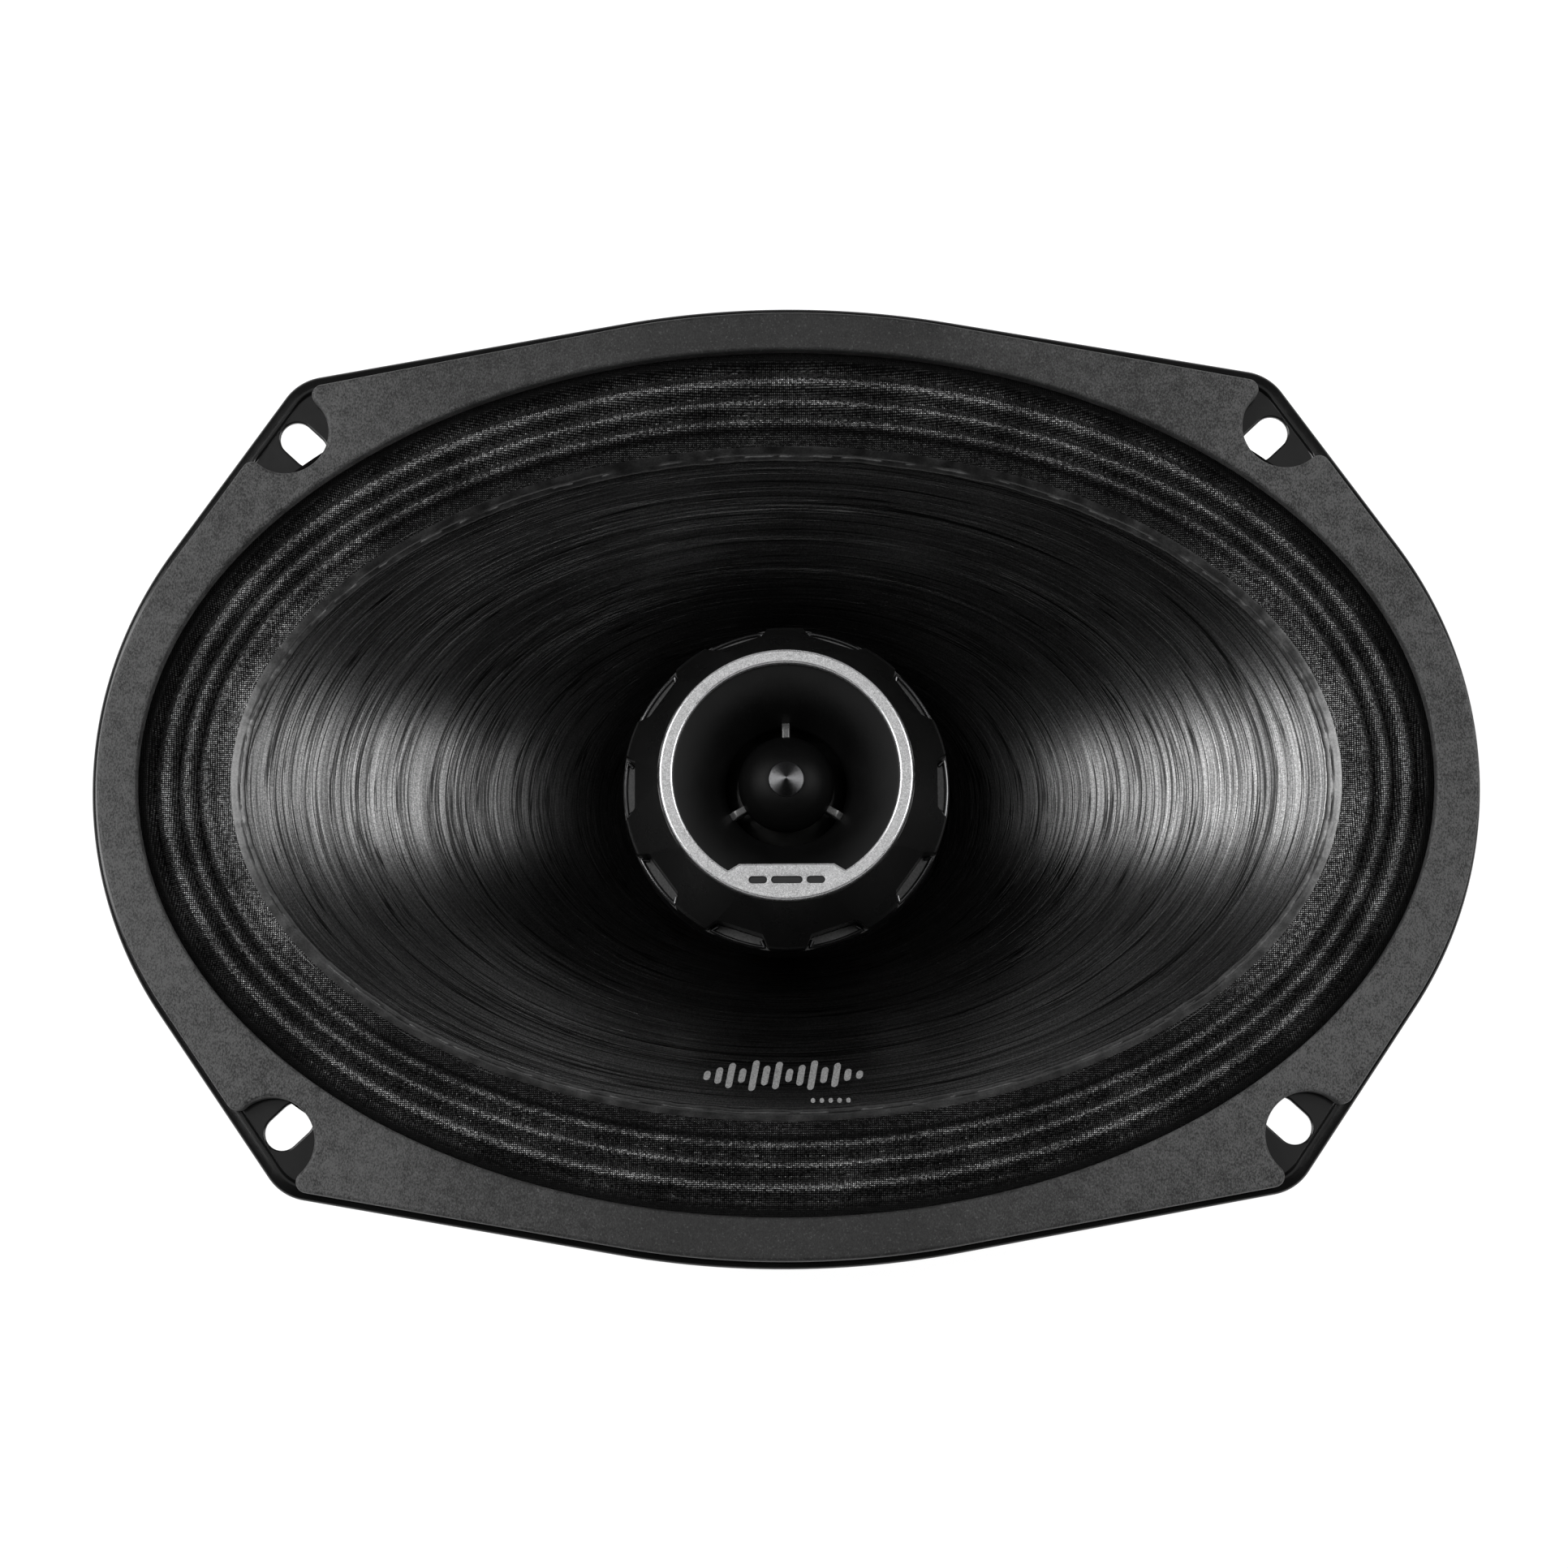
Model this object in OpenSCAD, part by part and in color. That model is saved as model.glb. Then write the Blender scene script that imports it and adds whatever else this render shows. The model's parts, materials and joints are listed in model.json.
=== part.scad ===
// Oval two-way coaxial car loudspeaker of the 6 x 9 inch class. All sizes in millimetres.
// The origin is the centre of the flange's rear mounting plane. +Z points out of the front
// along the speaker's axis, and +X runs along the long side of the oval.

/* [Flange and gasket] */
// Overall length of the steel flange
flange_l = 237; // [236:0.5:239]
// Overall width of the steel flange
flange_w = 166.5; // [165.5:0.5:167.5]
// Thickness of the flange sheet
flange_t = 1.6; // [1.4:0.1:1.8]
// Radius of the two long end arcs of the outline
end_r = 70.5; // [70:0.5:71]
// Radius of the two shallow side arcs of the outline
side_r = 163; // [160:1:166]
// Radius of the four outline corners
corner_r = 9; // [8:0.5:10]
// Width of a screw slot
slot_w = 5.8; // [5.2:0.1:6.2]
// Length of a screw slot, end to end
slot_l = 9; // [8:0.5:9.5]
// Thickness of the front gasket
gasket_t = 2.9; // [2:0.1:3.5]

/* [Cone and surround] */
// Half length of the front opening inside the gasket
open_a = 110.4; // [110:0.1:111]
// Half width of the front opening inside the gasket
open_b = 74.8; // [74.4:0.1:75.2]
// Half length of the cone's outer edge
cone_a = 95.6; // [95:0.1:96]
// Half width of the cone's outer edge
cone_b = 59.1; // [58.8:0.1:59.5]
// Depth of the cone from its edge to its neck
cone_depth = 37.2; // [36:0.2:38]
// Thickness of the paper cone
cone_t = 0.9; // [0.8:0.1:1.1]

/* [Motor] */
// Inner radius of the voice coil former
former_r = 19.1; // [19:0.05:19.2]
// Radius of the ceramic ring magnet
magnet_r = 50; // [49:0.5:50]
// Thickness of the ceramic ring magnet
magnet_t = 18; // [17:0.5:18]
// Radius of the pole piece
pole_r = 18.6; // [18.4:0.1:18.7]

/* [Tweeter] */
// Outer radius of the tweeter housing
housing_r = 28.5; // [28.3:0.1:28.6]
// Number of recesses round the housing
recess_n = 10; // [6:2:10]
// Radius of the horn's mouth
mouth_r = 19.3; // [19.1:0.1:19.4]
// Radius of the horn's throat
throat_r = 10.6; // [10.5:0.05:10.7]

/* [Hidden] */
$fn = 72;

// Levels along Z
top_plate_z = -60;      // underside of the top plate
floor_z = -54;          // underside of the basket floor
shelf_z = -45.8;        // spider landing
magnet_z = top_plate_z - magnet_t;
back_z = magnet_z - 6;  // rear face of the back plate
rest_z = back_z - 2;    // rear face of the rubber boot

// Outline of the flange, inset by d: two end arcs, two side arcs, and tangent
// straight lines that meet in four small corner arcs.
end_cx = flange_l / 2 - end_r;
side_cy = flange_w / 2 - side_r;
an1 = 34.7;
an2 = 79.9;
h1 = end_cx * cos(an1) + end_r - corner_r;
h2 = side_cy * sin(an2) + side_r - corner_r;
det = cos(an1) * sin(an2) - sin(an1) * cos(an2);
cor_x = (h1 * sin(an2) - sin(an1) * h2) / det;
cor_y = (cos(an1) * h2 - cos(an2) * h1) / det;

function arc(cx, cy, r, a0, a1, n) = [for (i = [0:n]) let (a = a0 + (a1 - a0) * i / n)
    [cx + r * cos(a), cy + r * sin(a)]];
function quarter(d) = concat(arc(end_cx, 0, end_r - d, 0, an1, 14),
    arc(cor_x, cor_y, corner_r - d, an1, an2, 8),
    arc(0, side_cy, side_r - d, an2, 90, 6));
function outline(d) = let (q = quarter(d), n = len(q)) concat(q,
    [for (i = [n - 2:-1:0]) [-q[i][0], q[i][1]]],
    [for (i = [1:n - 1]) [-q[i][0], -q[i][1]]],
    [for (i = [n - 2:-1:1]) [q[i][0], -q[i][1]]]);
function oval(a, b, n = 120) = [for (i = [0:n - 1]) [a * cos(360 * i / n), b * sin(360 * i / n)]];
function mix(a, b, s) = a + (b - a) * s;

// The four screw slots point outwards at 43 degrees
slot_x = 83.6;
slot_y = 59.1;
slot_a = 43;
module at_corners() {
    for (mx = [0, 1], my = [0, 1]) mirror([mx, 0, 0]) mirror([0, my, 0]) children();
}
module slot(w, l, h) {
    translate([slot_x, slot_y, 0]) rotate([0, 0, slot_a]) {
        translate([-(l - w) / 2, -w / 2, 0]) cube([l - w, w, h]);
        translate([(l - w) / 2, 0, 0]) cylinder(d = w, h = h);
        translate([-(l - w) / 2, 0, 0]) cylinder(d = w, h = h);
    }
}

// Closed loft: ring j is an oval [a, b, z]; the rings form a closed loop in section
module loft(rings, n) {
    m = len(rings);
    pts = [for (r = rings) for (i = [0:n - 1]) [r[0] * cos(360 * i / n), r[1] * sin(360 * i / n), r[2]]];
    polyhedron(points = pts, convexity = 8, faces = [for (j = [0:m - 1], i = [0:n - 1])
        let (k = (i + 1) % n, l = (j + 1) % m) each
        [[j * n + i, l * n + k, l * n + i], [j * n + i, j * n + k, l * n + k]]]);
}

// Round wire of radius r along smoothed points
function cr(a, b, c, d, t) = 0.5 * ((2 * b) + (c - a) * t + (2 * a - 5 * b + 4 * c - d) * t * t
    + (3 * b - a - 3 * c + d) * t * t * t);
function smooth(p, k) = let (n = len(p)) concat([for (i = [0:n - 2], j = [0:k - 1])
    cr(p[max(i - 1, 0)], p[i], p[i + 1], p[min(i + 2, n - 1)], j / k)], [p[n - 1]]);
function unit(v) = v / norm(v);
module wire(p, r, sides = 8, k = 3, up = [1, 0.13, 0.09]) {
    q = smooth(p, k);
    n = len(q);
    pts = [for (i = [0:n - 1]) let (t = unit(q[min(i + 1, n - 1)] - q[max(i - 1, 0)]),
        u = unit(cross(t, up)), v = cross(t, u)) for (a = [0:sides - 1])
        q[i] + r * (cos(360 * a / sides) * u + sin(360 * a / sides) * v)];
    polyhedron(points = pts, convexity = 6, faces = concat(
        [[for (a = [0:sides - 1]) a]],
        [[for (a = [sides - 1:-1:0]) (n - 1) * sides + a]],
        [for (i = [0:n - 2], a = [0:sides - 1]) let (b = (a + 1) % sides) each
            [[i * sides + a, (i + 1) * sides + b, i * sides + b],
             [i * sides + a, (i + 1) * sides + a, (i + 1) * sides + b]]]));
}

// ---- Basket: pressed steel flange, skirt, six legs, spider shelf and floor ----
bk_n = 96;
bk_out = concat([[110.8, 75.2, 0.8], [110.0, 74.4, -3]],
    [for (s = [0:0.2:1.001]) [mix(108.4, 51, s), mix(72.8, 51, s), -8 - 31 * s]],
    [[49.6, 49.6, -43], [48.2, 48.2, -47.5]]);
bk_in = [for (j = [0:len(bk_out) - 1]) let (r = bk_out[j])
    [r[0] - (j == 0 ? 2.0 : 1.6), r[1] - (j == 0 ? 2.0 : 1.6), r[2] + (j > 1 && j < 8 ? 0.7 : 0)]];
// six openings of 45 degrees between 15 degree legs, over rings 3 to 7
function hole(j, i) = j >= 3 && j <= 6 && (((i + 6 + bk_n) % 16) < 12);
module basket_shell() {
    m = len(bk_out);
    n = bk_n;
    pts = concat(
        [for (r = bk_out) for (i = [0:n - 1]) [r[0] * cos(360 * i / n), r[1] * sin(360 * i / n), r[2]]],
        [for (r = bk_in) for (i = [0:n - 1]) [r[0] * cos(360 * i / n), r[1] * sin(360 * i / n), r[2]]]);
    o = m * n;
    faces = concat(
        [for (j = [0:m - 2], i = [0:n - 1]) if (!hole(j, i)) let (k = (i + 1) % n,
            a = j * n + i, b = j * n + k, c = (j + 1) * n + k, d = (j + 1) * n + i)
            each [[a, b, c], [a, c, d], [o + a, o + c, o + b], [o + a, o + d, o + c]]],
        [for (i = [0:n - 1]) let (k = (i + 1) % n) each
            [[i, o + i, o + k], [i, o + k, k],
             [(m - 1) * n + i, (m - 1) * n + k, o + (m - 1) * n + k],
             [(m - 1) * n + i, o + (m - 1) * n + k, o + (m - 1) * n + i]]],
        [for (j = [3:6], i = [0:n - 1]) if (hole(j, i)) let (k = (i + 1) % n,
            a = j * n + i, b = j * n + k, c = (j + 1) * n + k, d = (j + 1) * n + i) each concat(
            hole(j - 1, i) ? [] : [[a, b, o + b], [a, o + b, o + a]],
            hole(j + 1, i) ? [] : [[c, d, o + d], [c, o + d, o + c]],
            hole(j, (i + n - 1) % n) ? [] : [[d, a, o + a], [d, o + a, o + d]],
            hole(j, k) ? [] : [[b, c, o + c], [b, o + c, o + b]])]);
    polyhedron(points = pts, faces = faces, convexity = 8);
}
rivet_pcr = 30;
module basket() color([0.07, 0.07, 0.075]) difference() {
    union() {
        difference() {
            union() {
                linear_extrude(1.0) polygon(outline(0));
                translate([0, 0, 0.9]) linear_extrude(flange_t - 0.9) polygon(outline(0.6));
            }
            translate([0, 0, -1]) linear_extrude(5) polygon(oval(109.6, 74.0));
            // shallow pressed pads round the screw slots
            at_corners() translate([0, 0, flange_t - 0.5]) linear_extrude(2) intersection() {
                polygon(outline(2.3));
                translate([84.5, 60.7]) circle(r = 9.2);
            }
        }
        basket_shell();
        rotate_extrude() polygon([[47.5, shelf_z], [38, shelf_z], [36.8, floor_z + 1.5],
            [21.5, floor_z + 1.5], [21.5, floor_z], [38.2, floor_z], [39.4, -47.3], [47.5, -47.3]]);
    }
    at_corners() translate([0, 0, -1]) slot(slot_w, slot_l, 4);
    for (k = [0:3]) rotate([0, 0, 45 + 90 * k]) translate([rivet_pcr, 0, floor_z - 1])
        cylinder(r = 2, h = 4);
}

// ---- Gasket ring laid on the flange over the surround's cloth edge ----
cloth_a = 117.0;
cloth_b = 80.9;
module gasket() color([0.22, 0.22, 0.23]) translate([0, 0, flange_t]) difference() {
    linear_extrude(gasket_t) polygon(outline(0.8));
    translate([0, 0, -1]) linear_extrude(9) polygon(oval(open_a, open_b));
    translate([0, 0, -1]) linear_extrude(1.5) polygon(oval(cloth_a + 0.1, cloth_b + 0.1));
    at_corners() translate([86.3, 61.8, -1]) cylinder(r = 6.9, h = 9);
    at_corners() translate([92.6, 66.4, -1]) rotate([0, 0, 55]) translate([-6, -6, 0]) cube([12, 12, 9]);
}

// ---- Surround: woven cloth with a flat glued edge and three rolls ----
// [distance inwards from the gasket's inner edge, height of the cloth's middle]
su_t = 0.5;
su_mid = [[-6.6, 1.85], [0.9, 1.85], [1.6, 0.9], [2.5, -0.6], [3.4, 0.6], [4.2, 1.7], [5.1, 1.7],
    [5.9, 0.4], [6.6, -0.5], [7.2, 0.5], [7.9, 1.35], [8.5, 1.3], [9.2, 0.1], [9.8, -0.7],
    [10.5, 0.3], [11.2, 1.0], [11.9, 0.8], [12.8, -0.15], [13.8, -0.55], [15.2, -0.35], [16.4, -0.15]];
function su_a(d) = d < 0 ? cloth_a : open_a - d;
function su_b(d) = d < 0 ? cloth_b : open_b - d * 17.3 / 16.4;
module surround() color([0.05, 0.05, 0.055]) loft(concat(
    [for (p = su_mid) [su_a(p[0]), su_b(p[0]), p[1] + su_t / 2]],
    [for (i = [len(su_mid) - 1:-1:0]) let (p = su_mid[i]) [su_a(p[0]), su_b(p[0]), p[1] - su_t / 2]]), 72);

// ---- Cone: oval at the edge, round at the neck ----
neck_r = former_r + 0.3;
cone_z = -1.6;
function cone_h(s) = cone_z - (cone_depth) * (0.8 * s + 0.2 * s * s);
function cone_ring(s, off) = [mix(cone_a, neck_r, s), mix(cone_b, neck_r, s), cone_h(s) + off];
module cone() color([0.06, 0.06, 0.065]) loft(concat(
    [[cone_a, cone_b, cone_z + cone_t], [cone_a - 1.8, cone_b - 1.8, cone_z + cone_t]],
    [for (s = [0.12:0.11:1.001]) cone_ring(s, cone_t)],
    [for (s = [1:-0.11:0.119]) cone_ring(s, 0)],
    [[cone_a - 1.6, cone_b - 1.6, cone_z], [cone_a, cone_b, cone_z]]), 72);

module tube(r1, r2, z1, z2) {
    translate([0, 0, z1]) difference() {
        cylinder(r = r2, h = z2 - z1);
        translate([0, 0, -1]) cylinder(r = r1, h = z2 - z1 + 2);
    }
}
neck_z = cone_h(1);
module voice_coil_former() color([0.55, 0.4, 0.2]) tube(former_r, former_r + 0.25, -65.5, neck_z + 1.6);
module voice_coil_winding() color([0.72, 0.4, 0.2]) tube(former_r + 0.25, former_r + 0.75, -64, -50);

// ---- Spider: corrugated cloth disc ----
sp_r = [for (i = [0:36]) 21.5 + i * 15.5 / 36];
function sp_z(r) = shelf_z + 0.25 + 1.1 * sin((r - 21.5) / 15.5 * 360 * 4.5);
module spider() color([0.62, 0.5, 0.25]) rotate_extrude() polygon(concat(
    [[former_r + 0.6, shelf_z + 0.5]], [for (r = sp_r) [r, sp_z(r) + 0.25]], [[46, shelf_z + 0.5]],
    [[46, shelf_z]], [for (i = [len(sp_r) - 1:-1:0]) [sp_r[i], sp_z(sp_r[i]) - 0.25]],
    [[former_r + 0.6, shelf_z]]));

// Two eyelets under the cone, where the flexible leads are joined
eye_x = 9;
eye_y = -28;
module cone_eyelets() color([0.75, 0.7, 0.6]) for (m = [0, 1]) mirror([m, 0, 0])
    translate([eye_x, eye_y, -31.9]) { cylinder(r = 1.7, h = 1.4); cylinder(r = 1.0, h = 2.4); }

// Two flexible braided leads from the terminals through the legs to the cone
module tinsel_leads() color([0.75, 0.45, 0.25]) for (m = [0, 1]) mirror([m, 0, 0])
    wire([[6.2, -70.4, -20.6], [9.5, -71.2, -19.6], [13.6, -69.2, -18.6], [15.6, -64, -19.6], [15.8, -57, -24],
        [14.8, -49, -30], [13, -41, -34.6], [11, -34, -35.6], [9.5, -29.6, -34.4], [9, -28, -32.7]], 0.55, 8, 3);

// ---- Motor ----
gap_r = former_r + 1.3;
module top_plate() color([0.6, 0.6, 0.62]) difference() {
    tube(gap_r, 46, top_plate_z, floor_z);
    for (k = [0:3]) rotate([0, 0, 45 + 90 * k]) translate([rivet_pcr, 0, floor_z - 4]) cylinder(r = 2, h = 6);
}
module ring_magnet() color([0.2, 0.2, 0.21]) tube(27, magnet_r, magnet_z, top_plate_z);
module back_plate() color([0.6, 0.6, 0.62]) difference() {
    union() {
        translate([0, 0, back_z]) cylinder(r = 45, h = 6);
        translate([0, 0, magnet_z - 1]) cylinder(r = pole_r, h = floor_z - magnet_z + 1);
    }
    translate([0, 0, back_z - 1]) cylinder(r = 4.5, h = 60);
    translate([0, 0, back_z - 1]) cylinder(r = 12, h = 4);
}
module magnet_boot() color([0.05, 0.05, 0.05]) difference() {
    rotate_extrude() polygon([[47, top_plate_z + 1], [magnet_r + 1.6, top_plate_z + 1],
        [magnet_r + 2.4, top_plate_z], [magnet_r + 2.4, magnet_z - 1.3], [47.6, rest_z], [13, rest_z],
        [13, back_z], [45.4, back_z], [magnet_r, magnet_z], [magnet_r, top_plate_z], [47, top_plate_z]]);
    // channel for the tweeter's leads
    translate([-1.3, 0, 0]) rotate([90, 0, 90]) linear_extrude(2.6) polygon([[0, back_z - 1.5],
        [-46.9, back_z - 1.5], [-magnet_r - 1.7, magnet_z - 1.5], [-magnet_r - 1.7, top_plate_z + 3],
        [0, top_plate_z + 3]]);
}
module basket_rivets() color([0.7, 0.7, 0.72]) for (k = [0:3]) rotate([0, 0, 45 + 90 * k])
    translate([rivet_pcr, 0, 0]) {
        translate([0, 0, floor_z - 4]) cylinder(r = 2, h = 5.5);
        translate([0, 0, floor_z + 1.5]) cylinder(r1 = 3.4, r2 = 2.2, h = 1.2);
    }

// ---- Tweeter post, its nut and washer ----
module tweeter_post() color([0.5, 0.5, 0.52]) difference() {
    union() {
        translate([0, 0, back_z + 0.4]) cylinder(r = 4.5, h = floor_z - back_z);
        translate([0, 0, floor_z]) cylinder(r = 10, h = 2);
        translate([0, 0, floor_z + 1]) cylinder(r = 6.5, h = -27 - floor_z - 1);
        translate([0, 0, -28]) cylinder(r = 10, h = 2);
    }
    translate([0, 0, back_z - 1]) cylinder(r = 2.2, h = 70);
    translate([0, -9.5, -36.5]) rotate([-140, 0, 0]) translate([0, 0, -1]) cylinder(r = 1.5, h = 14.5);
}
module post_washer() color([0.7, 0.7, 0.7]) tube(4.6, 9, back_z + 2.4, back_z + 3);
module post_nut() color([0.7, 0.7, 0.7]) translate([0, 0, back_z + 0.2]) difference() {
    cylinder(r = 7.5, h = 2.2, $fn = 6);
    translate([0, 0, -1]) cylinder(r = 4.5, h = 5);
}

// ---- Tweeter ----
bezel_z = 2.3;
module tweeter_housing() color([0.06, 0.06, 0.065]) difference() {
    rotate_extrude() polygon([[21.55, bezel_z], [21.9, bezel_z], [housing_r - 0.4, -9.3], [housing_r, -9.9],
        [housing_r, -19.5], [25, -19.5], [25, -10.8], [20.7, -1.2], [20.7, 0.9], [21.55, 0.9]]);
    for (k = [0:recess_n - 1]) rotate([0, 0, 360 / recess_n * k]) translate([0, 0, -12])
        linear_extrude(14) polygon([[26.2, -4.1], [29.5, -7.1], [29.5, 7.1], [26.2, 4.1]]);
}
function flare(s) = [throat_r + (mouth_r - throat_r) * (0.55 * s + 0.45 * s * s), -9.5 + (bezel_z + 9.5) * s];
boss_r = 21.3;
module horn_flare() color([0.05, 0.05, 0.055]) difference() {
    union() {
        rotate_extrude() polygon(concat([for (i = [0:8]) flare(i / 8)],
            [[21.5, bezel_z], [21.5, 0.9], [20.6, 0.9], [15.5, -7.9], [18.5, -7.9], [18.5, -9.5]]));
        for (k = [0:2]) rotate([0, 0, 30 + 120 * k]) {
            translate([boss_r, 0, -19.4]) cylinder(r = 2.5, h = 11);
            translate([16, -1.2, -9.3]) cube([4, 2.4, 2]);
        }
    }
    for (k = [0:2]) rotate([0, 0, 30 + 120 * k]) translate([boss_r, 0, -20]) cylinder(r = 1.1, h = 10);
}
module bezel_ring() color([0.75, 0.75, 0.76]) {
    rotate_extrude() polygon([[mouth_r, bezel_z], [21.65, bezel_z], [21.65, 3.35], [21.3, 3.7],
        [mouth_r + 0.35, 3.7], [mouth_r, 3.35]]);
    translate([0, 0, bezel_z + 0.1]) linear_extrude(1.25) intersection() {
        circle(r = 20.5);
        polygon([[-8.05, -15.4], [-9.9, -16.5], [-9.9, -21], [9.9, -21], [9.9, -16.5], [8.05, -15.4]]);
    }
}
module phase_plug() color([0.04, 0.04, 0.045]) {
    rotate_extrude() polygon([[1.2, -1.6], [3.1, -1.6], [4.6, -2.2], [6.2, -3.3], [7.5, -4.8], [8.3, -6.6],
        [8.3, -8], [7.7, -11.4], [4, -11.0], [0, -10.9], [0, -4], [1.2, -4]]);
    rotate_extrude() polygon([[throat_r + 0.1, -9.5], [18.5, -9.5], [18.5, -14.6], [15.9, -14.6],
        [15.9, -12.6], [throat_r + 0.1, -12.6]]);
    for (k = [0:2]) rotate([0, 0, 90 + 120 * k]) {
        translate([7, -0.75, -10.3]) cube([3.5, 1.5, 2.7]);
        translate([7, -0.75, -10.3]) cube([4.5, 1.5, 0.7]);
    }
}
module phase_plug_tip() color([0.6, 0.6, 0.62]) {
    translate([0, 0, -1.6]) cylinder(r1 = 3.1, r2 = 0.25, h = 1.6);
    translate([0, 0, -4]) cylinder(r = 1.2, h = 3);
}
function cap(r) = -12.2 - (28.4 - sqrt(28.4 * 28.4 - r * r));
function roll(i) = [14.05 - 1.15 * cos(180 * i / 8), -15.1 + 0.9 * sin(180 * i / 8)];
module tweeter_diaphragm() color([0.7, 0.68, 0.62]) rotate_extrude() polygon(concat(
    [for (i = [0:10]) let (r = 12.3 * i / 10) [r, cap(r)]], [for (i = [0:8]) roll(i)],
    [for (i = [8:-1:0]) roll(i) + [0, -0.2]], [[12.3, cap(12.3) - 0.2]],
    [for (i = [9:-1:0]) let (r = 12.3 * i / 10) [r, cap(r) - 0.2]]));
module tweeter_coil() color([0.72, 0.4, 0.2]) tube(12.55, 12.95, -21, -15.3);
module diaphragm_ring() color([0.1, 0.1, 0.1]) tube(15.6, 18.7, -16, -14.6);
module tweeter_pole_plate() color([0.6, 0.6, 0.62]) tube(2.2, 12.1, -18.3, -16.3);
module tweeter_magnet() color([0.7, 0.7, 0.72]) tube(2.2, 12, -23.3, -18.3);
module tweeter_yoke() color([0.6, 0.6, 0.62]) difference() {
    translate([0, 0, -26]) cylinder(r = 17, h = 10);
    translate([0, 0, -23.3]) cylinder(r = 13.45, h = 10);
    translate([0, 0, -27]) cylinder(r = 2.2, h = 10);
}
module tweeter_back_cover() color([0.05, 0.05, 0.055]) difference() {
    tube(17.4, housing_r, -21, -19.5);
    for (k = [0:2]) rotate([0, 0, 30 + 120 * k]) translate([boss_r, 0, -22]) cylinder(r = 1.3, h = 4);
    translate([0, -18.2, -22]) cylinder(r = 1.4, h = 4);
}
module housing_screws() color([0.2, 0.2, 0.2]) for (k = [0:2]) rotate([0, 0, 30 + 120 * k])
    translate([boss_r, 0, 0]) {
        translate([0, 0, -21]) cylinder(r = 1.1, h = 9.5);
        difference() {
            translate([0, 0, -22.3]) cylinder(r1 = 1.5, r2 = 2.1, h = 1.3);
            translate([-1.3, -0.25, -22.6]) cube([2.6, 0.5, 0.9]);
            translate([-0.25, -1.3, -22.6]) cube([0.5, 2.6, 0.9]);
        }
    }
// Twin lead of the tweeter: down the hollow post, under the boot and up to the capacitor
module tweeter_leads() color([0.1, 0.1, 0.1]) wire([[0, -18.2, -16.4], [0, -18.2, -22], [0, -17, -27.4],
    [0, -13.5, -32], [0, -8.7, -37.4], [0, -4.6, -42.3], [0, -1.3, -47], [0, 0, -52], [0, 0, -66], [0, 0, -79.5],
    [0, -0.9, -83], [0, -4, -84.72], [0, -12, -84.72], [0, -30, -84.72], [0, -43.6, -84.7], [0, -46.9, -82.9],
    [0, -50.1, -79], [0, -50.9, -76], [0, -50.9, -68], [0, -50.9, -61], [0, -50.9, -58.4], [-2, -53.2, -56.7], [-8, -56.6, -56.3],
    [-12.6, -57.8, -55.4], [-15.4, -58, -52.8], [-16, -58, -49.4]], 0.65, 8, 3);

// ---- Terminals on the leg at -Y ----
module on_leg() translate([0, -65.2, -18.85]) rotate([125.1, 0, 0]) children();
module terminal_board() color([0.45, 0.3, 0.15]) on_leg() difference() {
    translate([-11, -8.5, 0.9]) cube([22, 17, 1.6]);
    for (x = [-7.5, 7.5]) translate([x, 5.5, 0]) cylinder(r = 1.5, h = 4);
    for (x = [-5.5, 5.5]) translate([x, -2, 0]) cylinder(r = 1.2, h = 4);
}
module blade(x, w) on_leg() difference() {
    translate([x - w / 2, -17, 2.5]) cube([w, 18.5, 0.8]);
    translate([x, -2, 2]) cylinder(r = 1.2, h = 3);
    translate([x, -13.5, 2]) cylinder(r = 0.9, h = 3);
}
module terminal_positive() color([0.8, 0.7, 0.4]) blade(5.5, 6.3);
module terminal_negative() color([0.75, 0.75, 0.77]) blade(-5.5, 4.8);
module terminal_rivets() color([0.7, 0.7, 0.72]) on_leg() {
    for (x = [-7.5, 7.5]) translate([x, 5.5, 0]) {
        translate([0, 0, -2]) cylinder(r = 1.5, h = 4.6);
        translate([0, 0, -0.1]) cylinder(r = 2.5, h = 1.0);
        translate([0, 0, 2.5]) cylinder(r1 = 2.6, r2 = 1.6, h = 0.9);
    }
    for (x = [-5.5, 5.5]) translate([x, -2, 0]) {
        translate([0, 0, 0.9]) cylinder(r = 1.2, h = 2.6);
        translate([0, 0, 3.3]) cylinder(r1 = 1.9, r2 = 1.3, h = 0.6);
    }
}

// ---- Crossover capacitor, clipped to the basket under the terminals ----
cap_y = -58;
cap_z = -48;
rivet_z = -41.5;
module crossover_capacitor() color([0.15, 0.2, 0.4]) translate([0, cap_y, cap_z]) rotate([0, 90, 0])
    translate([0, 0, -13]) union() {
        cylinder(r = 5.6, h = 26);
        translate([0, 0, 0.8]) cylinder(r = 6.2, h = 24.4);
    }
module capacitor_clip() color([0.7, 0.7, 0.72]) {
    translate([0, cap_y, cap_z]) rotate([0, 90, 0]) translate([0, 0, -3]) difference() {
        cylinder(r = 6.9, h = 6);
        translate([0, 0, -1]) cylinder(r = 6.2, h = 8);
    }
    difference() {
        translate([-3, -51.6, -48]) cube([6, 0.7, 8.8]);
        translate([0, -53, rivet_z]) rotate([-90, 0, 0]) cylinder(r = 1.3, h = 4);
    }
}
module clip_rivet() color([0.7, 0.7, 0.72]) translate([0, 0, rivet_z]) rotate([-90, 0, 0]) {
    translate([0, 0, -52.4]) cylinder(r = 1.3, h = 5);
    translate([0, 0, -52.4]) cylinder(r1 = 1.4, r2 = 2.0, h = 0.8);
}
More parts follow.
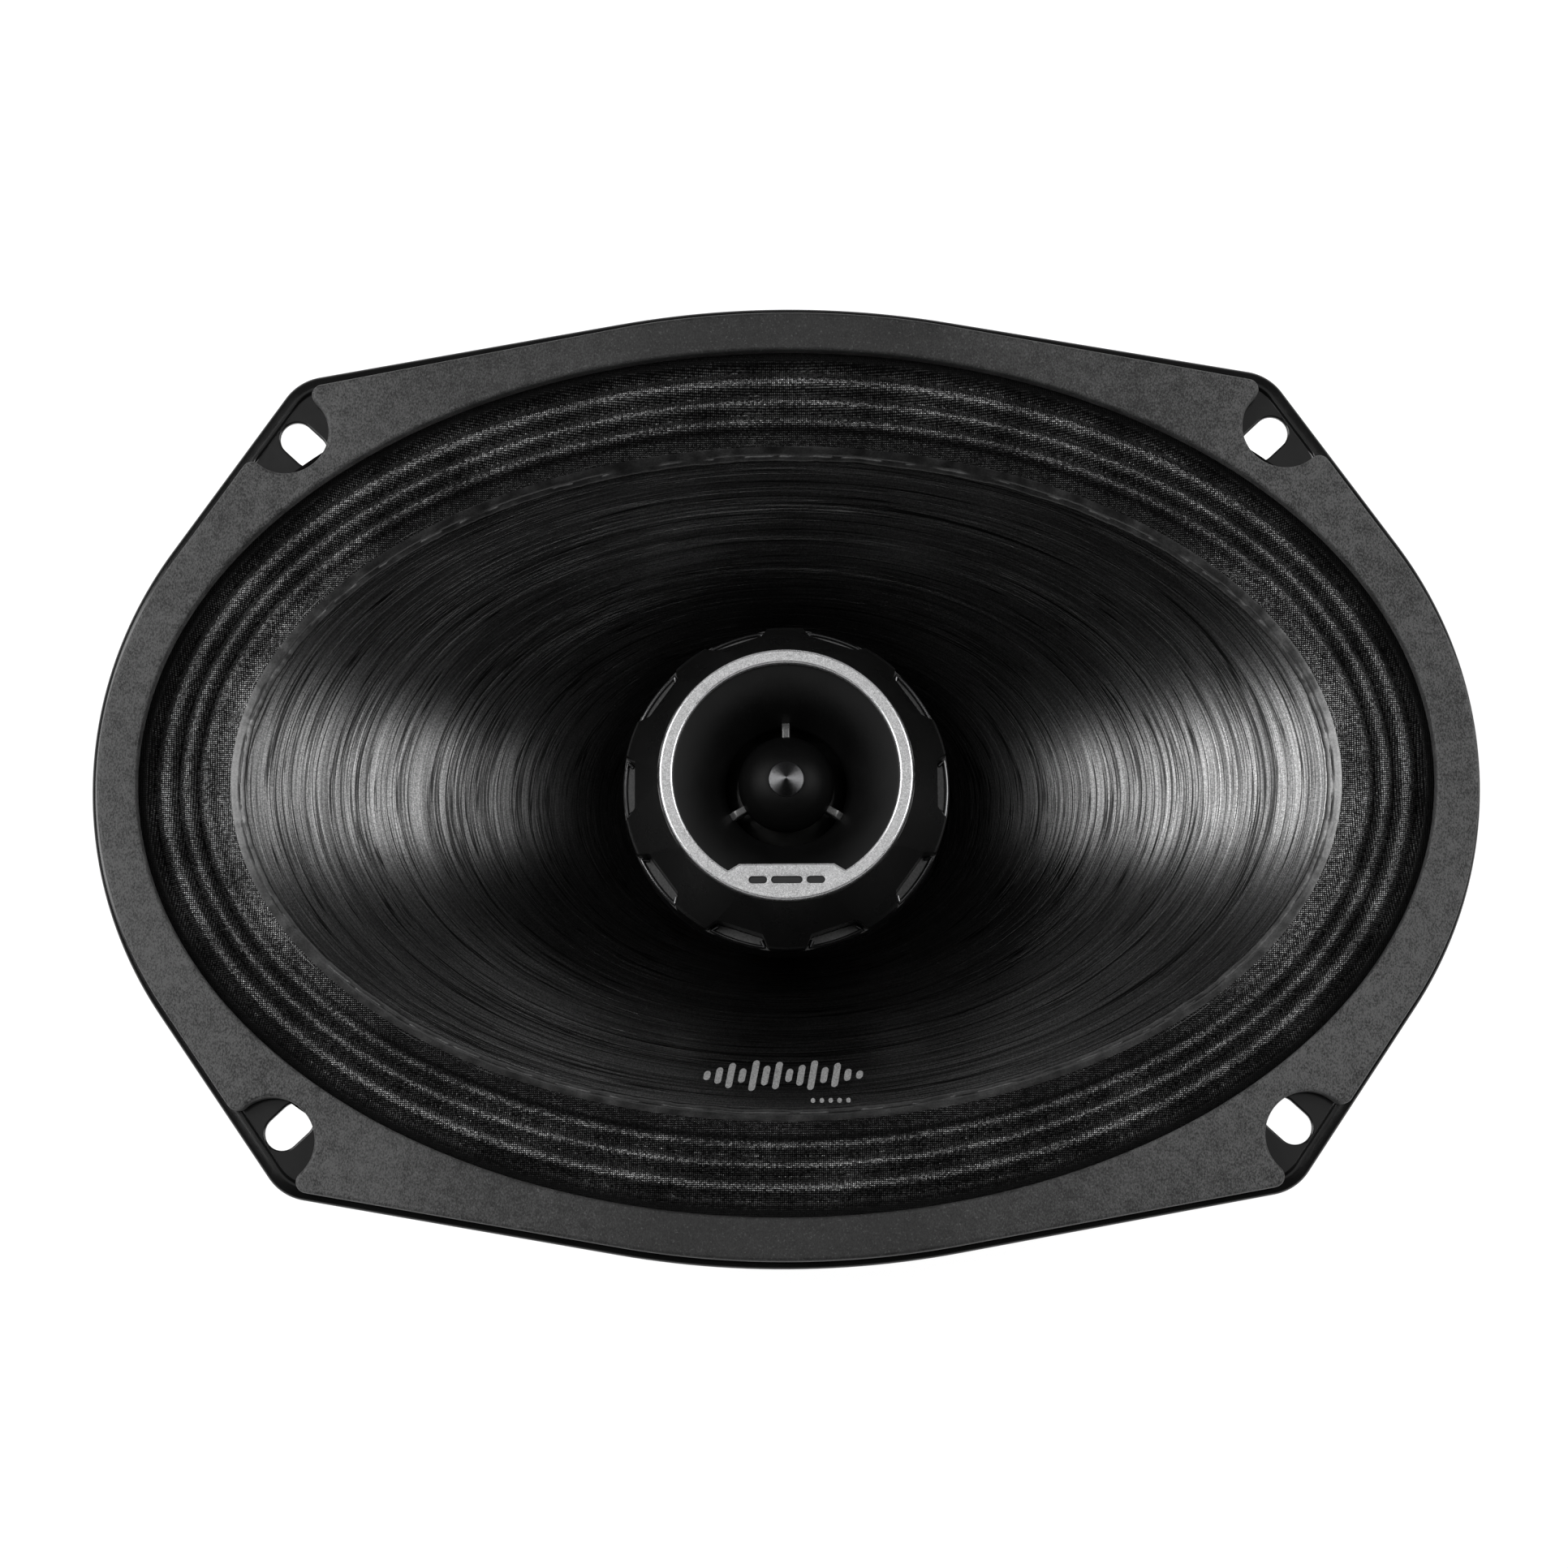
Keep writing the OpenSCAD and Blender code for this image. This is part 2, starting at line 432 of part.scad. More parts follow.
module capacitor_leads() color([0.75, 0.75, 0.77]) {
    wire([[13, cap_y, cap_z], [15.2, cap_y, cap_z + 0.4], [16.6, -58.8, -43.4], [14.6, -61.2, -35.2],
        [10.8, -65.2, -28.6], [7.6, -69, -23.6]], 0.4, 8, 3, [0.11, 1, 0.07]);
    wire([[-13, cap_y, cap_z], [-14.6, cap_y, cap_z - 0.2], [-15.6, cap_y, cap_z - 1.3]], 0.4, 8, 2, [0.11, 1, 0.07]);
}

basket();
gasket();
surround();
cone();
voice_coil_former();
voice_coil_winding();
spider();
cone_eyelets();
tinsel_leads();
top_plate();
ring_magnet();
back_plate();
magnet_boot();
basket_rivets();
tweeter_post();
post_nut();
post_washer();
tweeter_housing();
horn_flare();
bezel_ring();
phase_plug();
phase_plug_tip();
tweeter_diaphragm();
tweeter_coil();
diaphragm_ring();
tweeter_pole_plate();
tweeter_magnet();
tweeter_yoke();
tweeter_back_cover();
housing_screws();
tweeter_leads();
terminal_board();
terminal_positive();
terminal_negative();
terminal_rivets();
crossover_capacitor();
capacitor_clip();
clip_rivet();
capacitor_leads();
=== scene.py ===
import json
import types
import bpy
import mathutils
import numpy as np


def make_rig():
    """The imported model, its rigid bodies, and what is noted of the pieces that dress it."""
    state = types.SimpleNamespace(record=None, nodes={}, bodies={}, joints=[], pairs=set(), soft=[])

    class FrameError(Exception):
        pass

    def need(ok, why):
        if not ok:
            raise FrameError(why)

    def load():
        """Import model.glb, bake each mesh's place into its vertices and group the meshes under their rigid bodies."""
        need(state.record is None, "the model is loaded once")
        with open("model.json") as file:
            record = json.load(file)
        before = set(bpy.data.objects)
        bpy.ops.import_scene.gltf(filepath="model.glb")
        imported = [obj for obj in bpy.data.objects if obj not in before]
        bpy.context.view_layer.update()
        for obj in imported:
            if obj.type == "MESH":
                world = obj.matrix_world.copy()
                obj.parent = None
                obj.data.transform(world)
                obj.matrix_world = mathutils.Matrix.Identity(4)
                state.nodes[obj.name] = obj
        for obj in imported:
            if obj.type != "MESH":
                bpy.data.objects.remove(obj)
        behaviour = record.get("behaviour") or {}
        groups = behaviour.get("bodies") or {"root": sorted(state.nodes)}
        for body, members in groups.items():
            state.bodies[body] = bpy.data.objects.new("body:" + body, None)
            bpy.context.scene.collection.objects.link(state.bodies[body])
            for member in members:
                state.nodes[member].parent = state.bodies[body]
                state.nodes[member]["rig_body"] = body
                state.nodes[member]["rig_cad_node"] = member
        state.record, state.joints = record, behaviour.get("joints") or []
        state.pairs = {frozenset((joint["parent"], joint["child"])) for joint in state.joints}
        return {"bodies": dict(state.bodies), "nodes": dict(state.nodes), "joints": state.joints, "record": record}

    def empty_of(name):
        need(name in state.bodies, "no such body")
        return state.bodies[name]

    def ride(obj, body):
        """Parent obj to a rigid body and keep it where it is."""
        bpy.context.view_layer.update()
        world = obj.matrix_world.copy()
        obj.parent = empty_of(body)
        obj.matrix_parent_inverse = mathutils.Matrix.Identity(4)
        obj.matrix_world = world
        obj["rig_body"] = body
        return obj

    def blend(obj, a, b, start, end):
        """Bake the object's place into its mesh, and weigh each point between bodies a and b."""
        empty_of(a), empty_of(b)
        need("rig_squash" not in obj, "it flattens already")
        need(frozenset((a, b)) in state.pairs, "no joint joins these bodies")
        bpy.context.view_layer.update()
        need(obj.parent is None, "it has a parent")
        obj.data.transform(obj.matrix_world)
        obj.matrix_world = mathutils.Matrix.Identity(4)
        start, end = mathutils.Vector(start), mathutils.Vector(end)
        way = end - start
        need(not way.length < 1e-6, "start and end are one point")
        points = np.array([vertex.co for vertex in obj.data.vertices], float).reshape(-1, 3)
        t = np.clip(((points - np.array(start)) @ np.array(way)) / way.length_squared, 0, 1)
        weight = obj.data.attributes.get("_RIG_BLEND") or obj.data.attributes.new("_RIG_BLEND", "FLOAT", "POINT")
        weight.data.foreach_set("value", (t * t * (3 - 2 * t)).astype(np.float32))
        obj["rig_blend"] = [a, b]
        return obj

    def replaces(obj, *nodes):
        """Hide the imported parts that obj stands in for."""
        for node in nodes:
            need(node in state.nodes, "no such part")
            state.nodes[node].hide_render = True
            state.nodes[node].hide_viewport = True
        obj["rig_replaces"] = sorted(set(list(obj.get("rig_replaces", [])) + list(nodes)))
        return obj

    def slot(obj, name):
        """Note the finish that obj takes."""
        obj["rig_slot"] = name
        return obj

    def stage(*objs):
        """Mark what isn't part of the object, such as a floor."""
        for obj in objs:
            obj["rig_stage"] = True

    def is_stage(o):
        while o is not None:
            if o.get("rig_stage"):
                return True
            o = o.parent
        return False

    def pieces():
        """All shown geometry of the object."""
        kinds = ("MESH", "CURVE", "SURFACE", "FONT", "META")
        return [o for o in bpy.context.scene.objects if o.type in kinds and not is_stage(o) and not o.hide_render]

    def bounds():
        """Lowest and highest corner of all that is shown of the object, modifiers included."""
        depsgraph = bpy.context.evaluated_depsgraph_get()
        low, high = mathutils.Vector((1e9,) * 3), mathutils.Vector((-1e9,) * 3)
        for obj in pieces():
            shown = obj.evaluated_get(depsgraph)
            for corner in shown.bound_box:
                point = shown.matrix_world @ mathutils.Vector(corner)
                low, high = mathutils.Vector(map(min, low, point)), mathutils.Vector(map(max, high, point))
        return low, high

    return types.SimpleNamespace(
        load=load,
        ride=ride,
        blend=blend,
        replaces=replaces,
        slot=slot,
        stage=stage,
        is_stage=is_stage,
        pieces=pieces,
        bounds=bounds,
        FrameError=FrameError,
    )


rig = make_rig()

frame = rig.load()

import bpy
import bmesh
import json
import math
import numpy as np
from mathutils import Vector, Matrix, noise as mnoise
from mathutils.geometry import delaunay_2d_cdt

cad_lo, cad_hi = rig.bounds()
nodes = frame["nodes"]
scene = bpy.context.scene
MM = 0.001
TAU = 2 * math.pi
cosd = lambda a: math.cos(math.radians(a))
sind = lambda a: math.sin(math.radians(a))


# ---------------------------------------------------------------- materials
class Mat:
    """A node material: each method adds nodes and returns an output socket."""

    def __init__(self, name, color=(0.5, 0.5, 0.5), rough=0.5, metal=0.0, **sockets):
        self.m = bpy.data.materials.new(name)
        self.m.use_nodes = True
        self.t = self.m.node_tree
        self.b = [n for n in self.t.nodes if n.type == "BSDF_PRINCIPLED"][0]
        self.set("Base Color", (*color, 1.0))
        self.set("Roughness", rough)
        self.set("Metallic", metal)
        for k, v in sockets.items():
            self.set(k.replace("_", " "), v)
        self.m.diffuse_color = (*color, 1.0)

    def set(self, socket, value):
        self.b.inputs[socket].default_value = value

    def plug(self, out, socket):
        self.t.links.new(out, self.b.inputs[socket])

    def new(self, kind, **attrs):
        n = self.t.nodes.new(kind)
        for k, v in attrs.items():
            setattr(n, k, v)
        return n

    def put(self, node, name, value):
        i = node.inputs[name]
        if hasattr(value, "is_output"):
            self.t.links.new(value, i)
        else:
            i.default_value = value

    def coord(self):
        return self.new("ShaderNodeTexCoord").outputs["Object"]

    def attr(self, name, out="Vector"):
        return self.new("ShaderNodeAttribute", attribute_name=name).outputs[out]

    def mapping(self, vec, scale=(1, 1, 1), rot=(0, 0, 0), loc=(0, 0, 0)):
        n = self.new("ShaderNodeMapping")
        self.put(n, "Vector", vec)
        self.put(n, "Scale", scale)
        self.put(n, "Rotation", rot)
        self.put(n, "Location", loc)
        return n.outputs[0]

    def noise(self, vec, mm=None, scale=None, detail=2.0, rough=0.5, distort=0.0):
        n = self.new("ShaderNodeTexNoise")
        self.put(n, "Vector", vec)
        self.put(n, "Scale", scale if scale is not None else 1000.0 / mm)
        self.put(n, "Detail", detail)
        self.put(n, "Roughness", rough)
        self.put(n, "Distortion", distort)
        return n.outputs["Fac"]

    def voronoi(self, vec, mm, feature="F1"):
        n = self.new("ShaderNodeTexVoronoi", feature=feature)
        self.put(n, "Vector", vec)
        self.put(n, "Scale", 1000.0 / mm)
        return n.outputs["Distance"]

    def math(self, op, a, b=0.0, c=0.0, clamp=False):
        n = self.new("ShaderNodeMath", operation=op, use_clamp=clamp)
        for i, v in enumerate((a, b, c)):
            if hasattr(v, "is_output"):
                self.t.links.new(v, n.inputs[i])
            else:
                n.inputs[i].default_value = v
        return n.outputs[0]

    def remap(self, v, a, b, c, d):
        n = self.new("ShaderNodeMapRange")
        self.put(n, "Value", v)
        for k, x in zip(("From Min", "From Max", "To Min", "To Max"), (a, b, c, d)):
            self.put(n, k, x)
        return n.outputs[0]

    def ramp(self, fac, stops, interp="LINEAR"):
        n = self.new("ShaderNodeValToRGB")
        n.color_ramp.interpolation = interp
        e = n.color_ramp.elements
        while len(e) < len(stops):
            e.new(0.5)
        for x, (p, c) in zip(e, stops):
            x.position = p
            x.color = (*c, 1.0) if len(c) == 3 else c
        self.put(n, "Fac", fac)
        return n.outputs["Color"]

    def xyz(self, vec):
        n = self.new("ShaderNodeSeparateXYZ")
        self.put(n, "Vector", vec)
        return n.outputs

    def bump(self, height, mm, strength=1.0, normal=None):
        n = self.new("ShaderNodeBump")
        self.put(n, "Height", height)
        self.put(n, "Distance", mm * MM)
        self.put(n, "Strength", strength)
        if normal is not None:
            self.put(n, "Normal", normal)
        return n.outputs[0]

    def tangent_uv(self):
        n = self.new("ShaderNodeTangent", direction_type="UV_MAP", uv_map="UVMap")
        self.plug(n.outputs[0], "Tangent")

    def tangent_radial(self):
        n = self.new("ShaderNodeTangent", direction_type="RADIAL", axis="Z")
        self.plug(n.outputs[0], "Tangent")


def grey(v, tint=(1, 1, 1)):
    return (v * tint[0], v * tint[1], v * tint[2])


def mat_paint(name, base, lo, hi, peel=0.02, dust=True, spec=0.5):
    m = Mat(name, grey(base), (lo + hi) / 2)
    m.set("Specular IOR Level", spec)
    c = m.coord()
    big = m.noise(c, mm=18, detail=3)
    fine = m.noise(c, mm=1.3, detail=2)
    m.plug(m.remap(m.math("ADD", m.math("MULTIPLY", big, 0.6), m.math("MULTIPLY", fine, 0.4)), 0.3, 0.7, lo, hi), "Roughness")
    m.plug(m.ramp(m.noise(c, mm=7, detail=4), [(0.3, grey(base * 0.8)), (0.7, grey(base * 1.25))]), "Base Color")
    n1 = m.bump(fine, peel, 0.6)
    if dust:
        sp = m.math("LESS_THAN", m.voronoi(c, 6.5), 0.035)
        n1 = m.bump(sp, 0.03, 0.5, n1)
    m.plug(n1, "Normal")
    return m.m


def mat_foam():
    m = Mat("gasket_foam", grey(0.03), 0.6)
    m.set("Specular IOR Level", 0.4)
    c = m.coord()
    fibre = m.noise(m.mapping(c, (1, 0.6, 1)), mm=0.24, detail=3, rough=0.65)
    mid = m.noise(c, mm=2.4, detail=3)
    big = m.noise(c, mm=26, detail=3)
    v = m.math("ADD", m.math("MULTIPLY", fibre, 0.62), m.math("ADD", m.math("MULTIPLY", mid, 0.2), m.math("MULTIPLY", big, 0.18)))
    # painted light: side makes the foam lighter towards the ends at large |x|, where the side lights fall, and darker
    # along the middle of the long sides
    side = m.remap(m.math("ABSOLUTE", m.xyz(c)[0]), 0.02, 0.085, 0.28, 1.2)
    speck = m.remap(m.noise(c, mm=0.36, detail=2), 0.58, 0.74, 0.0, 0.5)
    v = m.math("ADD", m.math("MULTIPLY", m.remap(v, 0.4, 0.6, 0.0, 1.0), side), speck)
    m.plug(m.ramp(v, [(0.0, grey(0.009)), (0.25, grey(0.026)), (0.5, grey(0.05)), (1.0, grey(0.1))]), "Base Color")
    m.plug(m.remap(mid, 0.3, 0.7, 0.46, 0.58), "Roughness")
    m.plug(m.bump(fibre, 0.07, 0.7, m.bump(mid, 0.09, 0.5)), "Normal")
    return m.m


def weave(m, pitch):
    """Plain weave in the sheet's XY plane: threads along X and Y that pass over and under."""
    c = m.coord()
    wob = m.noise(c, mm=9, detail=2)
    x, y, _ = m.xyz(c)
    k = math.pi / (pitch * MM)
    wx = m.math("MULTIPLY_ADD", wob, 0.9, m.math("MULTIPLY", x, k))
    wy = m.math("MULTIPLY_ADD", wob, 0.9, m.math("MULTIPLY", y, k))
    s = m.math("ABSOLUTE", m.math("MULTIPLY", m.math("SINE", wx), m.math("SINE", wy)))
    return c, s


def mat_cloth():
    m = Mat("surround_cloth", grey(0.03), 0.4, 0.9)
    c, s = weave(m, 0.345)
    big = m.noise(c, mm=9, detail=3)
    fine = m.noise(c, mm=0.5, detail=2)
    # painted shade: lip darkens the cloth in the groove beside the gasket and on the flat inner edge away from the ends
    # at ±X
    lip = m.attr("lip", "Fac")
    knots = m.math("MULTIPLY", s, m.remap(fine, 0.35, 0.65, 0.35, 1.0))
    v = m.math("MULTIPLY", m.math("MULTIPLY", knots, m.remap(big, 0.35, 0.65, 0.8, 1.1)), lip)
    m.plug(m.ramp(v, [(0.08, grey(0.003)), (0.3, grey(0.06)), (0.6, grey(0.36)), (0.95, grey(0.85))]), "Base Color")
    m.plug(m.ramp(m.math("MULTIPLY_ADD", big, 0.2, knots), [(0.15, grey(0.66)), (0.45, grey(0.42)), (0.95, grey(0.29))]), "Roughness")
    m.plug(m.bump(knots, 0.1, 1.0, m.bump(fine, 0.06, 0.6)), "Normal")
    return m.m


def mat_spider():
    m = Mat("spider_cloth", (0.42, 0.29, 0.11), 0.75)
    m.set("Sheen Weight", 0.2)
    c, s = weave(m, 0.6)
    n = m.noise(c, mm=5, detail=4)
    m.plug(m.ramp(m.math("MULTIPLY_ADD", s, 0.22, n), [(0.25, (0.2, 0.13, 0.045)), (0.55, (0.42, 0.29, 0.11)), (0.8, (0.55, 0.41, 0.19))]), "Base Color")
    m.plug(m.bump(s, 0.12, 0.9), "Normal")
    return m.m


def mat_cone():
    """Coated paper brushed round the oval: streak is (cos, sin, distance in mm along the slope)."""
    m = Mat("cone_paper", grey(0.05), 0.3, 1.0)
    m.set("Anisotropic", 0.62)
    m.tangent_uv()
    a = m.attr("streak")
    c = m.coord()
    # long thin scratches are the contour lines of stretched noise
    lines = []
    for sc, loc, lo, hi in (((0.35, 0.35, 0.5), (3, 1, 2), 0.004, 0.016), ((0.5, 0.5, 0.85), (7, 3, 5), 0.004, 0.018), ((0.7, 0.7, 1.5), (1, 9, 4), 0.006, 0.024)):
        n = m.noise(m.mapping(a, sc, loc=loc), scale=1.0, detail=3, rough=0.5)
        lines.append(m.remap(m.math("ABSOLUTE", m.math("SUBTRACT", n, 0.5)), lo, hi, 1.0, 0.0))
    gate = m.remap(m.noise(m.mapping(a, (0.9, 0.9, 0.16), loc=(5, 5, 5)), scale=1.0, detail=2), 0.42, 0.6, 0.0, 1.0)
    scratch = m.math("MAXIMUM", lines[0], m.math("MAXIMUM", m.math("MULTIPLY", lines[1], 0.8), m.math("MULTIPLY", lines[2], gate)))
    fine = m.noise(m.mapping(a, (1.6, 1.6, 5.0), loc=(2, 8, 1)), scale=1.0, detail=4, rough=0.7)
    band = m.noise(m.mapping(a, (0.6, 0.6, 1.3), loc=(8, 2, 7)), scale=1.0, detail=3, rough=0.6)
    pores = m.noise(c, mm=0.28, detail=3, rough=0.75)
    blot = m.noise(c, mm=14, detail=3)
    v = m.math("MULTIPLY", m.remap(fine, 0.32, 0.68, 0.45, 1.1), m.remap(pores, 0.3, 0.7, 0.4, 1.15))
    v = m.math("MULTIPLY", v, m.remap(band, 0.35, 0.65, 0.66, 1.02))
    # painted shade: the colour darkens towards the neck, where the tweeter housing shades the cone from the side lights
    v = m.math("MULTIPLY", v, m.remap(m.xyz(a)[2], 0.36 * 86, 0.72 * 86, 1.0, 0.34))
    v = m.math("MULTIPLY", v, m.math("MULTIPLY_ADD", scratch, -0.86, 1.0))
    m.plug(m.ramp(v, [(0.0, grey(0.004)), (0.25, grey(0.045)), (0.5, grey(0.105)), (1.0, grey(0.25))]), "Base Color")
    m.plug(m.remap(m.math("MULTIPLY_ADD", blot, 0.5, m.math("MULTIPLY", band, 0.5)), 0.35, 0.65, 0.33, 0.27), "Roughness")
    b = m.bump(scratch, -0.04, 0.5, m.bump(fine, 0.03, 0.5))
    b = m.bump(band, 0.06, 0.4, b)
    m.plug(m.bump(pores, 0.025, 0.5, b), "Normal")
    return m.m


def mat_glue():
    m = Mat("edge_glue", grey(0.06), 0.36, 1.0)
    c = m.coord()
    n = m.noise(c, mm=0.35, detail=3, rough=0.7)
    big = m.noise(c, mm=3.0, detail=3)
    v = m.math("MULTIPLY", m.remap(n, 0.3, 0.7, 0.6, 1.0), m.remap(big, 0.3, 0.7, 0.6, 1.0))
    m.plug(m.ramp(v, [(0.2, grey(0.05)), (0.6, grey(0.12)), (1.0, grey(0.21))]), "Base Color")
    m.plug(m.remap(big, 0.3, 0.7, 0.32, 0.42), "Roughness")
    m.plug(m.bump(n, 0.02, 0.5, m.bump(big, 0.05, 0.5)), "Normal")
    return m.m


def mat_plastic(name, base, lo, hi, grain=0.25, depth=0.015, spec=0.5):
    m = Mat(name, grey(base), (lo + hi) / 2)
    m.set("Specular IOR Level", spec)
    c = m.coord()
    g = m.noise(c, mm=grain, detail=2)
    big = m.noise(c, mm=9, detail=3)
    m.plug(m.remap(big, 0.3, 0.7, lo, hi), "Roughness")
    m.plug(m.ramp(g, [(0.3, grey(base * 0.75)), (0.7, grey(base * 1.35))]), "Base Color")
    m.plug(m.bump(g, depth, 0.7), "Normal")
    return m.m


def mat_metal(name, color, lo, hi, depth=0.012, grain=0.6, stretch=(1, 1, 1), tarnish=0.75):
    m = Mat(name, color, (lo + hi) / 2, 1.0)
    c = m.coord()
    g = m.noise(m.mapping(c, stretch), mm=grain, detail=3)
    big = m.noise(c, mm=6, detail=4)
    m.plug(m.remap(m.math("ADD", m.math("MULTIPLY", g, 0.5), m.math("MULTIPLY", big, 0.5)), 0.3, 0.7, lo, hi), "Roughness")
    m.plug(m.ramp(big, [(0.3, tuple(x * tarnish for x in color)), (0.6, color)]), "Base Color")
    m.plug(m.bump(g, depth, 0.6), "Normal")
    return m.m


def mat_silver_face():
    m = Mat("silver_face", (0.62, 0.62, 0.63), 0.5, 0.35)
    c = m.coord()
    g = m.noise(c, mm=0.19, detail=3, rough=0.75)
    f = m.noise(c, mm=0.5, detail=3)
    v = m.math("ADD", m.math("MULTIPLY", g, 0.88), m.math("MULTIPLY", f, 0.12))
    m.plug(m.ramp(v, [(0.32, (0.27, 0.27, 0.275)), (0.5, (0.55, 0.55, 0.555)), (0.68, (0.9, 0.9, 0.905))]), "Base Color")
    m.plug(m.remap(g, 0.3, 0.7, 0.36, 0.6), "Roughness")
    m.plug(m.bump(g, 0.05, 0.8), "Normal")
    return m.m


def mat_polish():
    m = Mat("silver_bevel", (0.86, 0.86, 0.87), 0.16, 0.85)
    c = m.coord()
    m.plug(m.remap(m.noise(c, mm=0.8, detail=3), 0.3, 0.7, 0.24, 0.36), "Roughness")
    m.plug(m.ramp(m.noise(c, mm=0.4), [(0.3, (0.78, 0.78, 0.79)), (0.7, (0.93, 0.93, 0.94))]), "Base Color")
    return m.m


def mat_turned(name="turned_tip"):
    m = Mat(name, (0.3, 0.3, 0.31), 0.3, 1.0)
    m.set("Anisotropic", 0.85)
    m.tangent_radial()
    c = m.coord()
    x, y, _ = m.xyz(c)
    r = m.math("SQRT", m.math("ADD", m.math("MULTIPLY", x, x), m.math("MULTIPLY", y, y)))
    g = m.math("SINE", m.math("MULTIPLY", r, TAU / (0.12 * MM)))
    n = m.noise(c, mm=0.4, detail=3)
    m.plug(m.remap(m.math("MULTIPLY_ADD", g, 0.1, n), 0.2, 0.8, 0.3, 0.4), "Roughness")
    m.plug(m.ramp(n, [(0.3, (0.12, 0.12, 0.124)), (0.7, (0.16, 0.16, 0.164))]), "Base Color")
    m.plug(m.bump(g, 0.004, 0.5), "Normal")
    return m.m


def mat_rubber():
    m = Mat("boot_rubber", grey(0.013), 0.55)
    c = m.coord()
    g = m.noise(c, mm=0.6, detail=3)
    big = m.noise(c, mm=15, detail=4)
    m.plug(m.remap(big, 0.3, 0.7, 0.42, 0.62), "Roughness")
    m.plug(m.ramp(big, [(0.3, grey(0.010)), (0.55, grey(0.014)), (0.75, grey(0.022))]), "Base Color")
    m.plug(m.bump(g, 0.03, 0.6), "Normal")
    return m.m


def mat_windings(name, color, pitch):
    m = Mat(name, color, 0.32, 1.0)
    c = m.coord()
    z = m.xyz(c)[2]
    s = m.math("SINE", m.math("MULTIPLY", z, TAU / (pitch * MM)))
    n = m.noise(c, mm=2, detail=3)
    m.plug(m.ramp(n, [(0.3, tuple(x * 0.7 for x in color)), (0.7, color)]), "Base Color")
    m.plug(m.bump(s, 0.08, 0.9), "Normal")
    return m.m


def mat_film(name, color, rough, mottle=1.5, spec=0.5, fleck=None):
    m = Mat(name, color, rough)
    m.set("Specular IOR Level", spec)
    c = m.coord()
    n = m.noise(c, mm=mottle, detail=4)
    hi = fleck or tuple(min(1, x * 1.35) for x in color)
    m.plug(m.ramp(n, [(0.3, tuple(x * 0.75 for x in color)), (0.55, color), (0.75, hi)]), "Base Color")
    m.plug(m.remap(n, 0.3, 0.7, rough * 0.85, min(1, rough * 1.2)), "Roughness")
    m.plug(m.bump(n, 0.02, 0.5), "Normal")
    return m.m


def mat_phenolic():
    m = Mat("phenolic_board", (0.2, 0.095, 0.035), 0.42)
    c = m.coord()
    f = m.noise(m.mapping(c, (1, 0.12, 0.12)), mm=0.5, detail=4)
    n = m.noise(c, mm=6, detail=4)
    m.plug(m.ramp(m.math("ADD", m.math("MULTIPLY", f, 0.6), m.math("MULTIPLY", n, 0.4)), [(0.32, (0.09, 0.038, 0.014)), (0.5, (0.2, 0.095, 0.035)), (0.68, (0.31, 0.16, 0.06))]), "Base Color")
    m.plug(m.bump(f, 0.02, 0.5), "Normal")
    return m.m


def mat_mark():
    m = Mat("silver_print", (0.42, 0.42, 0.43), 0.45, 0.3)
    c = m.coord()
    g = m.noise(c, mm=0.3, detail=3)
    m.plug(m.ramp(g, [(0.3, grey(0.25)), (0.5, grey(0.38)), (0.7, grey(0.5))]), "Base Color")
    m.plug(m.bump(g, 0.02, 0.5), "Normal")
    return m.m


